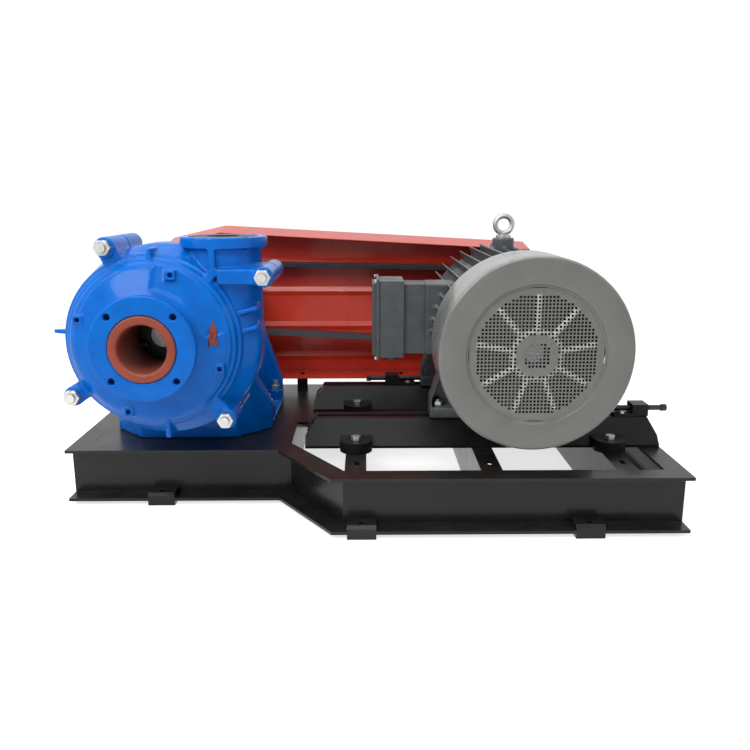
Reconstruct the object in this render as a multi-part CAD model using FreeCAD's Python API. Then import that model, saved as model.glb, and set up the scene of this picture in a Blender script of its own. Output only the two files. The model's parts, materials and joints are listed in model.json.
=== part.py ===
import FreeCAD, Part
import math
import os

# Slurry pump set: a lined centrifugal pump driven by V-belts from a motor that stands beside it.
# Row frame: +X to the motor side, +Y away from the suction flange, +Z up, origin under the middle
# of the set at floor level. All lengths are in millimetres.

# ---------------------------------------------------------------- skid
PAD_THICKNESS = 18.0
BEAM_HEIGHT = 200.0
BEAM_FLANGE = 82.0
FLANGE_THICKNESS = 11.0
WEB_THICKNESS = 8.0
DECK_Z = PAD_THICKNESS + BEAM_HEIGHT
SKID_LEFT = -1140.0
SKID_RIGHT = 1082.0
SKID_REAR = 708.5
PUMP_FRONT_Y = -316.5
MOTOR_FRONT_Y = -623.5
DIAGONAL_LEFT = -350.0
DIAGONAL_RIGHT = -142.0
SIDE_FLANGE = 75.0
MEMBER_X = (-59.0, 411.0, 882.0)
MEMBER_WIDTH = 75.0
PUMP_MEMBER_X = (-930.0, -495.0)
ANCHOR_FRONT = ((-794.0, PUMP_FRONT_Y), (-38.0, MOTOR_FRONT_Y), (742.0, MOTOR_FRONT_Y))
ANCHOR_INSET = 30.0
ANCHOR_WIDTH = 100.0
ANCHOR_HOLE_R = 11.0
PLATE_RIGHT = -306.0
PLATE_THICKNESS = 10.0
BRIDGE_FRONT_Y = 45.0

# ---------------------------------------------------------------- pump
PUMP_X = -712.0
PUMP_Z = DECK_Z + 457.0
SUCTION_Y = -708.5
SPLIT_Y = SUCTION_Y + 270.0
SUCTION_FLANGE_R = 167.0
SUCTION_BORE_R = 76.0
SUCTION_PCD = 286.0
SUCTION_HOLE_R = 11.0
COVER_RIM_R = 286.0
CASING_R = 321.0
CASING_SHIFT_X = 21.0
CASING_SHIFT_Z = -8.0
CASING_WALL = 24.0
LINER_WALL = 30.0
DISCHARGE_OFFSET = 218.0
DISCHARGE_TOP = 333.0
DISCHARGE_FLANGE_R = 144.0
DISCHARGE_PCD = 254.0
DISCHARGE_HOLE_R = 9.0
DISCHARGE_BORE_R = 55.0
LUG_AT = ((-129.0, 304.0), (365.0, 211.0), (-265.0, -176.0), (229.0, -255.0))
LUG_R = 33.0
LUG_BAR_HALF = 25.0
RECESS_R = (178.0, 250.0)
RECESS_ANGLES = (8.0, 84.0)
RECESS_DEPTH = 6.0
STUD_R = 14.0
IMPELLER_R = 182.0
SHAFT_R = 40.0
SLEEVE_R = 50.0
HOUSING_R = 122.0
FOOT_HALF = 311.0
HOLD_DOWN_X = 283.0
HOLD_DOWN_Y = (58.0, 312.0)

# ---------------------------------------------------------------- belt drive
BELT_Y = 611.5
BELT_COUNT = 4
BELT_PITCH = 25.5
BELT_TOP = 22.0
BELT_DEPTH = 18.0
GROOVE_ANGLE = 18.0
SHAFT_END = 60.0
PUMP_SHEAVE_R = 167.0
MOTOR_SHEAVE_R = 186.0

# ---------------------------------------------------------------- motor
MOTOR_X = 538.0
RAIL_HEIGHT = 95.0
SHAFT_HEIGHT = 315.0
MOTOR_Z = DECK_Z + RAIL_HEIGHT + SHAFT_HEIGHT
COWL_FACE_Y = -586.5
COWL_REAR_Y = -330.0
COWL_R = 325.0
FRAME_R = 262.0
FIN_R = 308.0
FIN_THICKNESS = 7.0
FIN_STEP = 9
SHIELD_R = 298.0
PAD_Y = (-106.0, 60.0)
LIFT_LUG_ANGLE = 139.5
FRAME_FRONT_Y = -345.0
FRAME_REAR_Y = 455.0
MOTOR_SHAFT_R = 40.0
RAIL_Y = (-179.5, 328.5)
RAIL_LEFT = -250.0
RAIL_RIGHT = 1078.0
RAIL_HALF = 122.0
FOOT_BOLT_X = 285.0
FOOT_OUTER = 317.0
RAIL_BOLT_R = 10.0
RAIL_LUG_OUT = 149.0
EYE_Y = 125.0
EYE_Z = DECK_Z + 807.0
SCREW_R = 10.0

GAP = 0.4
FIT = 0.05

X_AXIS = FreeCAD.Vector(1, 0, 0)
Y_AXIS = FreeCAD.Vector(0, 1, 0)
Z_AXIS = FreeCAD.Vector(0, 0, 1)


# ---------------------------------------------------------------- helpers
def at(x, y, z):
    return FreeCAD.Vector(x, y, z)


def box(x0, x1, y0, y1, z0, z1):
    return Part.makeBox(x1 - x0, y1 - y0, z1 - z0, at(x0, y0, z0))


def rod(radius, start, length, axis=Y_AXIS):
    return Part.makeCylinder(radius, length, start, axis)


def tube(outer, inner, start, length, axis=Y_AXIS):
    return rod(outer, start, length, axis).cut(rod(inner, start - axis, length + 2, axis))


def prism(points, direction):
    """Solid from a flat outline of vectors pushed along a direction."""
    return Part.Face(Part.makePolygon(points + points[:1])).extrude(direction)


def side_prism(outline, y0, y1):
    """Outline of (x, z) pairs pushed along Y."""
    return prism([at(x, y0, z) for x, z in outline], at(0, y1 - y0, 0))


def long_prism(outline, x0, x1):
    """Outline of (y, z) pairs pushed along X."""
    return prism([at(x0, y, z) for y, z in outline], at(x1 - x0, 0, 0))


def flat_prism(outline, z0, z1):
    """Outline of (x, y) pairs pushed along Z."""
    return prism([at(x, y, z0) for x, y in outline], at(0, 0, z1 - z0))


def turned(profile, x, z):
    """Body turned about a line along Y through x, z from (radius, y) pairs."""
    face = Part.Face(Part.makePolygon([at(x + r, y, z) for r, y in profile + profile[:1]]))
    return face.revolve(at(x, 0, z), Y_AXIS, 360)


def fuse(shapes):
    joined = shapes[0].multiFuse(shapes[1:]) if len(shapes) > 1 else shapes[0]
    return joined.removeSplitter()


def cut(shape, tools):
    return shape.cut(Part.makeCompound(tools))


def group(shapes):
    return Part.makeCompound(shapes)


def hexagon(across, start, length, axis=Y_AXIS):
    """Hexagonal prism with its corners taken off at the outer end."""
    radius = across / math.sqrt(3)
    flat = Part.makePolygon([at(radius * math.cos(math.radians(60 * k)),
                                radius * math.sin(math.radians(60 * k)), 0) for k in range(7)])
    prism_z = Part.Face(flat).extrude(at(0, 0, length))
    cone = Part.makeCone(radius + length * 1.2, across * 0.5 - 0.5, length + 0.5)
    solid = prism_z.common(cone)
    turn = FreeCAD.Rotation(Z_AXIS, axis)
    solid.Placement = FreeCAD.Placement(start, turn)
    return solid


def polar(radius, angle):
    return radius * math.cos(math.radians(angle)), radius * math.sin(math.radians(angle))


def behind(offset):
    """Y of a plane that lies offset behind the suction face."""
    return SUCTION_Y + offset


# ---------------------------------------------------------------- skid
def channel_x(x0, x1, y_open, y_web):
    """Channel along X, flanges from y_open to its web at y_web."""
    z0 = PAD_THICKNESS
    z1 = DECK_Z
    inner = y_web - math.copysign(WEB_THICKNESS, y_web - y_open)
    low, high = sorted((y_open, y_web))
    web_low, web_high = sorted((inner, y_web))
    return fuse([box(x0, x1, low, high, z0, z0 + FLANGE_THICKNESS),
                 box(x0, x1, low, high, z1 - FLANGE_THICKNESS, z1),
                 box(x0, x1, web_low, web_high, z0, z1)])


def channel_y(y0, y1, x_open, x_web):
    """Channel along Y, flanges from x_open to its web at x_web."""
    swap = FreeCAD.Matrix(0, 1, 0, 0, 1, 0, 0, 0, 0, 0, 1, 0, 0, 0, 0, 1)
    lying = channel_x(y0, y1, x_open, x_web)
    return Part.makeSolid(Part.Shell(lying.transformGeometry(swap).Faces))


def offset_corner(corner, before, after, inset):
    """Where two edges that meet at a corner cross once both are moved in by inset."""
    def normal(start, end):
        dx, dy = end[0] - start[0], end[1] - start[1]
        size = math.hypot(dx, dy)
        return -dy / size, dx / size
    n0 = normal(before, corner)
    n1 = normal(corner, after)
    det = n0[0] * n1[1] - n0[1] * n1[0]
    dx = inset * (n1[1] - n0[1]) / det
    dy = inset * (n0[0] - n1[0]) / det
    return corner[0] + dx, corner[1] + dy


def front_beams():
    """Three mitred channels that follow the stepped front edge, open to the front."""
    edge = [(SKID_LEFT, PUMP_FRONT_Y), (DIAGONAL_LEFT, PUMP_FRONT_Y),
            (DIAGONAL_RIGHT, MOTOR_FRONT_Y), (SKID_RIGHT, MOTOR_FRONT_Y)]

    def inner_edge(inset):
        return [(SKID_LEFT, PUMP_FRONT_Y + inset),
                offset_corner(edge[1], edge[0], edge[2], inset),
                offset_corner(edge[2], edge[1], edge[3], inset),
                (SKID_RIGHT, MOTOR_FRONT_Y + inset)]
    back = inner_edge(BEAM_FLANGE)
    web = inner_edge(BEAM_FLANGE - WEB_THICKNESS)
    beams = []
    for k in range(3):
        flange = [edge[k], edge[k + 1], back[k + 1], back[k]]
        wall = [web[k], web[k + 1], back[k + 1], back[k]]
        beams.append(fuse([flat_prism(flange, PAD_THICKNESS, PAD_THICKNESS + FLANGE_THICKNESS),
                           flat_prism(flange, DECK_Z - FLANGE_THICKNESS, DECK_Z),
                           flat_prism(wall, PAD_THICKNESS, DECK_Z)]))
    return beams


def slot_z(x, y, radius, length, z0, z1):
    """Cutter for a slot along Y through a level plate."""
    half = length / 2 - radius
    return fuse([rod(radius, at(x, y - half, z0), z1 - z0, Z_AXIS),
                 rod(radius, at(x, y + half, z0), z1 - z0, Z_AXIS),
                 box(x - radius, x + radius, y - half, y + half, z0, z1)])


def skid_parts():
    front_beam = fuse(front_beams())
    hole = [rod(ANCHOR_HOLE_R, at(x, y + ANCHOR_INSET, 0), 60, Z_AXIS) for x, y in ANCHOR_FRONT]
    rear_front = SKID_REAR - BEAM_FLANGE
    rear_beam = channel_x(SKID_LEFT, SKID_RIGHT, SKID_REAR, rear_front)
    rear_hole = [rod(ANCHOR_HOLE_R, at(x, SKID_REAR - ANCHOR_INSET, 0), 60, Z_AXIS)
                 for x, _ in ANCHOR_FRONT]
    pump_back = PUMP_FRONT_Y + BEAM_FLANGE
    motor_back = MOTOR_FRONT_Y + BEAM_FLANGE
    left_beam = channel_y(pump_back, rear_front, SKID_LEFT + SIDE_FLANGE, SKID_LEFT)
    right_beam = channel_y(motor_back, rear_front, SKID_RIGHT - SIDE_FLANGE, SKID_RIGHT)
    members = []
    for x in MEMBER_X:
        member = channel_y(motor_back, rear_front, x + MEMBER_WIDTH / 2, x - MEMBER_WIDTH / 2)
        slot = slot_z(x + 4, MOTOR_FRONT_Y + 160, 9, 44, DECK_Z - 40, DECK_Z + 10)
        bolt_holes = [rod(RAIL_BOLT_R + 1, at(x, y + side * RAIL_LUG_OUT, DECK_Z - 40), 60, Z_AXIS)
                      for y in RAIL_Y for side in (-1, 1)]
        members.append(cut(member, [slot] + bolt_holes))
    low_top = DECK_Z - PLATE_THICKNESS
    pump_members = [box(x - 40, x + 40, pump_back, rear_front, low_top - 130, low_top)
                    .cut(box(x - 34, x + 34, pump_back - 1, rear_front + 1,
                             low_top - 131, low_top - 8)) for x in PUMP_MEMBER_X]
    deck = box(SKID_LEFT + SIDE_FLANGE, PLATE_RIGHT, pump_back, rear_front, low_top, DECK_Z)
    slit = box(-1070, -1064, PUMP_FRONT_Y + 103, -60, low_top - 1, DECK_Z + 1)
    deck = cut(deck, [slit] + [rod(12, at(x, y, low_top - 1), 20, Z_AXIS)
                               for x, y in hold_down_places()])
    edge_member = box(PLATE_RIGHT - 6, PLATE_RIGHT, pump_back, rear_front, PAD_THICKNESS, low_top)
    bridge = box(PLATE_RIGHT, MEMBER_X[0] - MEMBER_WIDTH / 2, BRIDGE_FRONT_Y, rear_front,
                 low_top, DECK_Z)
    pads = []
    clips = []
    for x, y in ANCHOR_FRONT:
        pads.append(box(x - ANCHOR_WIDTH / 2, x + ANCHOR_WIDTH / 2, y, y + 120, 0, PAD_THICKNESS))
        clips.append(anchor_clip(x, y, y + BEAM_FLANGE - WEB_THICKNESS))
    for x, _ in ANCHOR_FRONT:
        pads.append(box(x - ANCHOR_WIDTH / 2, x + ANCHOR_WIDTH / 2, SKID_REAR - 120, SKID_REAR,
                        0, PAD_THICKNESS))
        clips.append(anchor_clip(x, SKID_REAR, rear_front + WEB_THICKNESS))
    holes = hole + rear_hole
    return {
        "skid_front_beam": cut(front_beam, holes),
        "skid_rear_beam": cut(rear_beam, holes),
        "skid_left_beam": left_beam,
        "skid_right_beam": right_beam,
        "skid_cross_members": group(members),
        "pump_deck_bearers": group(pump_members + [edge_member]),
        "pump_deck_plate": deck,
        "bridge_plate": bridge,
        "foot_pads": group([cut(p, holes) for p in pads]),
        "anchor_clips": group([cut(c, holes) for c in clips]),
    }


def anchor_clip(x, y_edge, y_web):
    """Thick washer plate on the lower flange, its outer edge bevelled."""
    z0 = PAD_THICKNESS + FLANGE_THICKNESS
    step = math.copysign(10, y_web - y_edge)
    outline = [(y_edge, z0), (y_web, z0), (y_web, z0 + 20), (y_edge + step, z0 + 20),
               (y_edge, z0 + 8)]
    return long_prism(outline, x - ANCHOR_WIDTH / 2, x + ANCHOR_WIDTH / 2)


# ---------------------------------------------------------------- pump casing
def circle(radius, offset, shift):
    centre = at(PUMP_X + CASING_SHIFT_X * shift, behind(offset), PUMP_Z + CASING_SHIFT_Z * shift)
    return Part.Wire(Part.makeCircle(radius, centre, Y_AXIS))


def casing_body(inset):
    """Off-centre drum of the casing; inset moves every wall inwards."""
    rings = [circle(COVER_RIM_R - inset, 150 + inset, 0), circle(CASING_R - 6 - inset, 200, 1),
             circle(CASING_R - inset, 222, 1), circle(CASING_R - inset, 318, 1),
             circle(CASING_R - 6 - inset, 340, 1), circle(COVER_RIM_R - 20 - inset, 402 - inset, 0)]
    return Part.makeLoft(rings, True, True)


def cover_dish():
    """Turned front of the cover plate: flange, neck, sloping face and ridged rim."""
    profile = [(SUCTION_FLANGE_R, 0), (SUCTION_FLANGE_R, 30), (152, 34), (152, 58), (176, 68),
               (240, 92), (256, 104), (262, 116), (268, 116), (272, 124), (276, 136),
               (COVER_RIM_R, 138), (COVER_RIM_R, 176), (258, 176), (240, 116), (176, 92),
               (106, 92), (106, 0)]
    return turned([(r, behind(s)) for r, s in profile], PUMP_X, PUMP_Z)


def cover_recess():
    """Sunken sector of the sloping face, from twelve o'clock round to the arrow."""
    inner, outer = RECESS_R
    depth = RECESS_DEPTH
    profile = [(inner, 50), (inner, 69 + depth), (240, 92 + depth), (outer, 97 + depth), (outer, 50)]
    ring = turned([(r, behind(s)) for r, s in profile], PUMP_X, PUMP_Z)
    first, last = RECESS_ANGLES
    corners = [(0, 0)] + [polar(2 * outer, a) for a in (first, (first + last) / 2, last)]
    wedge = side_prism([(PUMP_X + x, PUMP_Z + z) for x, z in corners], behind(0), behind(200))
    return ring.common(wedge)


def level_lug(dx, dz, offset0, offset1):
    """Round lug on a bar that runs level to the discharge neck."""
    lug = rod(LUG_R, at(PUMP_X + dx, behind(offset0), PUMP_Z + dz), offset1 - offset0)
    bar = box(PUMP_X + DISCHARGE_OFFSET, PUMP_X + dx, behind(offset0 + 8), behind(offset1 - 8),
              PUMP_Z + dz - LUG_BAR_HALF, PUMP_Z + dz + LUG_BAR_HALF)
    return [lug, bar]


def lug_bar(dx, dz, offset0, offset1):
    """Round lug with a web back to the casing drum."""
    radius = math.hypot(dx, dz)
    lug = rod(LUG_R, at(PUMP_X + dx, behind(offset0), PUMP_Z + dz), offset1 - offset0)
    web = box(0, radius - 255, behind(offset0 + 8), behind(offset1 - 8), -LUG_R + 3, LUG_R - 3)
    web.translate(at(255, 0, 0))
    web.rotate(at(0, 0, 0), Y_AXIS, -math.degrees(math.atan2(dz, dx)))
    web.translate(at(PUMP_X, 0, PUMP_Z))
    return [lug, web]


def discharge_outer():
    x = PUMP_X + DISCHARGE_OFFSET
    z = PUMP_Z + DISCHARGE_TOP
    neck = rod(124, at(x, SPLIT_Y, PUMP_Z + 60), DISCHARGE_TOP - 60, Z_AXIS)
    flange = rod(DISCHARGE_FLANGE_R, at(x, SPLIT_Y, z - 36), 36, Z_AXIS)
    arm = box(x + 60, PUMP_X + LUG_AT[1][0], SPLIT_Y - 95, SPLIT_Y + 95, PUMP_Z + 180,
              PUMP_Z + 240)
    return [neck, flange, arm]


def casing_ribs():
    """Cast ribs, bosses and ears on the front of the cover plate."""
    ribs = []
    for k in range(4):
        x, z = polar(235, 70 + 90 * k)
        boss = box(PUMP_X + x - 16, PUMP_X + x + 16, behind(78), behind(112),
                   PUMP_Z + z - 16, PUMP_Z + z + 16)
        ribs.append(boss)
    ribs.append(box(PUMP_X + 2, PUMP_X + 18, behind(112), behind(215), PUMP_Z + 252,
                    PUMP_Z + 303))
    ribs.append(box(PUMP_X + 28, PUMP_X + 44, behind(112), behind(215), PUMP_Z - 318,
                    PUMP_Z - 250))
    stem_x = PUMP_X + 202
    ribs.append(box(stem_x - 11, stem_x + 11, behind(128), behind(200), PUMP_Z + 212,
                    PUMP_Z + DISCHARGE_TOP - 20))
    ribs.append(side_prism([(stem_x - 11, PUMP_Z + 232), (stem_x + 11, PUMP_Z + 212),
                            (stem_x - 40, PUMP_Z + 158), (stem_x - 55, PUMP_Z + 172)],
                           behind(128), behind(215)))
    for low in (82, 20):
        ribs.append(side_prism([(PUMP_X + 270, PUMP_Z + low), (PUMP_X + 270, PUMP_Z + low + 16),
                                (PUMP_X + 338, PUMP_Z + low + 34), (PUMP_X + 338, PUMP_Z + low + 18)],
                               behind(150), behind(232)))
    ear = flat_prism([(PUMP_X - 285, behind(235)), (PUMP_X - 380, behind(282)),
                      (PUMP_X - 285, behind(330))], PUMP_Z + 4, PUMP_Z + 18)
    ribs.append(ear)
    return ribs


def casing_parts():
    x_d = PUMP_X + DISCHARGE_OFFSET
    top = PUMP_Z + DISCHARGE_TOP
    lugs = []
    for index, (dx, dz) in enumerate(LUG_AT):
        maker = level_lug if index == 1 else lug_bar
        lugs += maker(dx, dz, 112, 428)
    back_wall = turned([(262, behind(398)), (262, behind(430)), (150, behind(430)),
                        (150, behind(398))], PUMP_X, PUMP_Z)
    dish = cover_dish().cut(cover_recess())
    solid = fuse([casing_body(0), dish, back_wall] + lugs + discharge_outer()
                 + casing_ribs())
    hollow = casing_body(CASING_WALL)
    tools = [hollow,
             rod(112, at(x_d, SPLIT_Y, top - 22), 40, Z_AXIS),
             rod(90, at(x_d, SPLIT_Y, PUMP_Z + 60), DISCHARGE_TOP, Z_AXIS),
             rod(106, at(PUMP_X, behind(-1), PUMP_Z), 200),
             rod(150, at(PUMP_X, behind(360), PUMP_Z), 100),
             box(PUMP_X - 500, PUMP_X + 500, SPLIT_Y - 0.5, SPLIT_Y + 0.5,
                 PUMP_Z - 500, PUMP_Z + 500)]
    for dx, dz in LUG_AT:
        tools.append(rod(STUD_R + 1, at(PUMP_X + dx, behind(90), PUMP_Z + dz), 380))
    for k in range(4):
        x, z = polar(SUCTION_PCD / 2, 45 + 90 * k)
        tools.append(rod(SUCTION_HOLE_R, at(PUMP_X + x, behind(-1), PUMP_Z + z), 34))
        x, z = polar(235, 70 + 90 * k)
        tools.append(rod(8, at(PUMP_X + x, behind(70), PUMP_Z + z), 30))
        x, y = polar(DISCHARGE_PCD / 2, 45 + 90 * k)
        tools.append(rod(DISCHARGE_HOLE_R, at(x_d + x, SPLIT_Y + y, top - 40), 60, Z_AXIS))
    shell = solid
    for tool in tools:
        shell = shell.cut(tool)
    cover, frame = None, None
    for piece in sorted(shell.Solids, key=lambda s: -s.Volume)[:2]:
        if piece.CenterOfMass.y < SPLIT_Y:
            cover = piece
        else:
            frame = piece
    seats = [rod(STUD_R, at(PUMP_X + dx, behind(78), PUMP_Z + dz), 384) for dx, dz in LUG_AT]
    nuts = []
    for dx, dz in LUG_AT:
        hole = rod(STUD_R + 0.3, at(PUMP_X + dx, behind(60), PUMP_Z + dz), 420)
        front = hexagon(46, at(PUMP_X + dx, behind(112), PUMP_Z + dz), 24, at(0, -1, 0))
        rear = hexagon(46, at(PUMP_X + dx, behind(428), PUMP_Z + dz), 24)
        nuts += [front.cut(hole), rear.cut(hole)]
    return {
        "cover_plate": cover,
        "frame_plate": frame,
        "casing_bolts": group(seats + nuts),
    }


def liner_parts():
    inner_r = CASING_R - CASING_WALL - GAP
    cx = PUMP_X + CASING_SHIFT_X
    cz = PUMP_Z + CASING_SHIFT_Z
    x_d = PUMP_X + DISCHARGE_OFFSET
    bowl = rod(inner_r, at(cx, behind(222.5), cz), 95)
    flow = rod(inner_r - LINER_WALL, at(cx, behind(238), cz), 64)
    neck = rod(90 - GAP, at(x_d, SPLIT_Y, PUMP_Z + 120), DISCHARGE_TOP - 120 - 22, Z_AXIS)
    keep = box(x_d - 200, x_d + 200, behind(223), behind(317), PUMP_Z - 10, PUMP_Z + 600)
    neck_round = neck.common(keep).fuse(neck.common(box(x_d - 200, x_d + 200, behind(150),
                                                        behind(400), PUMP_Z + 262, PUMP_Z + 600)))
    collar = rod(112 - GAP, at(x_d, SPLIT_Y, PUMP_Z + DISCHARGE_TOP - 22), 22, Z_AXIS)
    liner = fuse([bowl, neck_round, collar])
    liner = liner.cut(flow)
    bore = rod(DISCHARGE_BORE_R, at(x_d, SPLIT_Y, PUMP_Z + 262), 200, Z_AXIS)
    throat_bore = rod(DISCHARGE_BORE_R - 3, at(x_d, SPLIT_Y, PUMP_Z + 120), 143, Z_AXIS)
    throat_depth = box(x_d - 200, x_d + 200, behind(238), behind(302), PUMP_Z + 120, PUMP_Z + 600)
    liner = liner.cut(bore).cut(throat_bore.common(throat_depth))
    liner = liner.cut(rod(232, at(PUMP_X, behind(200), PUMP_Z), 60))
    liner = liner.cut(rod(202, at(PUMP_X, behind(290), PUMP_Z), 60))
    throat = turned([(105.5, behind(-4)), (105.5, behind(20)), (100, behind(24)),
                     (100, behind(194)), (225, behind(206)), (231.5, behind(214)),
                     (231.5, behind(230)), (SUCTION_BORE_R, behind(222)),
                     (SUCTION_BORE_R, behind(4)), (82, behind(-4))], PUMP_X, PUMP_Z)
    back = turned([(201.6, behind(308)), (201.6, behind(326)), (56, behind(326)),
                   (56, behind(308))], PUMP_X, PUMP_Z)
    return {"volute_liner": liner, "throatbush": throat, "frame_plate_liner": back}


def impeller():
    """Closed impeller: two shrouds joined by five swept vanes."""
    front = turned([(SUCTION_BORE_R + 2, behind(236)), (IMPELLER_R, behind(236)),
                    (IMPELLER_R, behind(244)), (SUCTION_BORE_R + 2, behind(252))], PUMP_X, PUMP_Z)
    rear = turned([(SHAFT_R + FIT, behind(292)), (IMPELLER_R, behind(296)),
                   (IMPELLER_R, behind(304)), (SHAFT_R + FIT, behind(304))], PUMP_X, PUMP_Z)
    hub = tube(58, SHAFT_R + FIT, at(PUMP_X, behind(262), PUMP_Z), 36)
    vanes = []
    for k in range(5):
        start = 72 * k
        inner = polar(56, start)
        middle = polar(122, start - 32)
        outer = polar(IMPELLER_R - 2, start - 70)
        arc = Part.Arc(at(inner[0], behind(240), inner[1]), at(middle[0], behind(240), middle[1]),
                       at(outer[0], behind(240), outer[1])).toShape()
        band = arc.extrude(at(0, 60, 0))
        vane = band.makeOffsetShape(9, 0.01, fill=True)
        vane.translate(at(PUMP_X, 0, PUMP_Z))
        vanes.append(Part.makeSolid(vane.Shells[0]) if not vane.Solids else vane.Solids[0])
    return fuse([front, rear, hub] + vanes)


# ---------------------------------------------------------------- bearing frame
def hold_down_places():
    return [(PUMP_X + side * HOLD_DOWN_X, y) for side in (-1, 1) for y in HOLD_DOWN_Y]


def mirrored(half_outline):
    """Closed outline about the pump's middle plane from its right half, bottom to top."""
    right = [(PUMP_X + x, z) for x, z in half_outline]
    left = [(PUMP_X - x, z) for x, z in reversed(half_outline)]
    return right + left


def pump_base():
    """Pedestal casting: foot, walls, cradle for the bearing housing and a ring for the casing."""
    z0 = DECK_Z
    half = FOOT_HALF
    front = -167.5
    shoulder = -38.5
    rear = 400.0
    wall = 24.0
    top = PUMP_Z + 20
    plan = [(PUMP_X - 186, front), (PUMP_X + 186, front), (PUMP_X + half, shoulder),
            (PUMP_X + half, rear), (PUMP_X - half, rear), (PUMP_X - half, shoulder)]
    block = flat_prism(plan, z0, top)
    foot = flat_prism(plan, z0, z0 + 26)
    nose = side_prism(mirrored([(half, z0), (half, z0 + 112), (190, z0 + 330), (166, top)]),
                      front, 0)
    trough = side_prism(mirrored([(236, z0), (226, z0 + 90), (166, z0 + 400), (166, top)]),
                        -10, rear)
    tail = side_prism(mirrored([(half, z0), (half, z0 + 112), (215, z0 + 400), (166, top)]),
                      rear - 50, rear)
    body = fuse([foot, nose.common(block), trough, tail])
    room = side_prism(mirrored([(236 - wall, z0 - 1), (226 - wall, z0 + 90), (140, z0 + 290)]),
                      front + wall, rear - wall)
    nose_room = side_prism(mirrored([(half - wall, z0 - 1), (half - wall, z0 + 100),
                                     (150, z0 + 290)]), shoulder + wall, -wall)
    body = cut(body, [room, nose_room])
    ring = tube(238, 151, at(PUMP_X, behind(430.5), PUMP_Z), 26)
    tunnel = tube(166, 151, at(PUMP_X, behind(455), PUMP_Z), front + 10 - behind(455))
    lower = side_prism(mirrored([(150, z0 + 130), (200, PUMP_Z)]), behind(430.5), front + 5)
    bosses = [rod(29, at(x, y, z0), 77, Z_AXIS) for x, y in hold_down_places()]
    body = fuse([body, ring, tunnel, lower] + bosses)
    seat = HOUSING_R + GAP
    flange_seat = HOUSING_R + 14
    tools = [
        rod(seat, at(PUMP_X, front + 20, PUMP_Z), rear - front),
        box(PUMP_X - seat, PUMP_X + seat, front + 20, rear + 20, PUMP_Z, PUMP_Z + 80),
        rod(flange_seat, at(PUMP_X, front + 10, PUMP_Z), 40),
        box(PUMP_X - flange_seat, PUMP_X + flange_seat, front + 10, front + 50, PUMP_Z,
            PUMP_Z + 80),
        rod(151, at(PUMP_X, behind(420), PUMP_Z), front + 12 - behind(420)),
        box(PUMP_X - 300, PUMP_X + 300, behind(462), front - 6, PUMP_Z - 60, PUMP_Z + 95)]
    tools += [rod(14, at(x, y, z0 - 5), 100, Z_AXIS) for x, y in hold_down_places()]
    for tool in tools:
        body = body.cut(tool)
    return body.removeSplitter()


def bearing_parts():
    y0 = -120.0
    y1 = 430.0
    housing = tube(HOUSING_R, 92, at(PUMP_X, y0, PUMP_Z), y1 - y0)
    seats = [tube(92.2, 78, at(PUMP_X, y0 + 130, PUMP_Z), y1 - y0 - 260)]
    housing = fuse([housing] + seats)
    covers = [tube(HOUSING_R + 12, 48, at(PUMP_X, y, PUMP_Z), 26) for y in (y0 - 26, y1)]
    outer = []
    inner = []
    for y in (y0 + 20, y1 - 20 - 60):
        race = tube(91.7, 76, at(PUMP_X, y, PUMP_Z), 60)
        cone = tube(56, SHAFT_R + 6.02, at(PUMP_X, y, PUMP_Z), 60)
        outer.append(race)
        inner.append(cone)
    rollers = []
    for y in (y0 + 20, y1 - 20 - 60):
        for k in range(14):
            x, z = polar(66, 360 / 14 * k)
            rollers.append(rod(9.6, at(PUMP_X + x, y + 6, PUMP_Z + z), 48))
    bolts = []
    washers = []
    for y in (20.0, 290.0):
        for side in (-1, 1):
            x = PUMP_X + side * 146
            bolts.append(rod(10, at(x, y, PUMP_Z + 20), 60, Z_AXIS))
            bolts[-1] = bolts[-1].fuse(hexagon(30, at(x, y, PUMP_Z + 46), 18, Z_AXIS))
            washer = box(x - 32, x + 32, y - 26, y + 26, PUMP_Z + 20, PUMP_Z + 46)
            washer = washer.cut(rod(10.5, at(x, y, PUMP_Z), 80, Z_AXIS))
            washer = washer.cut(rod(HOUSING_R + GAP, at(PUMP_X, y - 40, PUMP_Z), 80))
            washers.append(washer)
    return {
        "bearing_housing": housing,
        "bearing_outer_rings": group(outer),
        "bearing_inner_rings": group(inner + rollers),
        "bearing_covers": group(covers),
        "housing_clamps": group(washers),
        "housing_clamp_bolts": group(bolts),
    }


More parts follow.
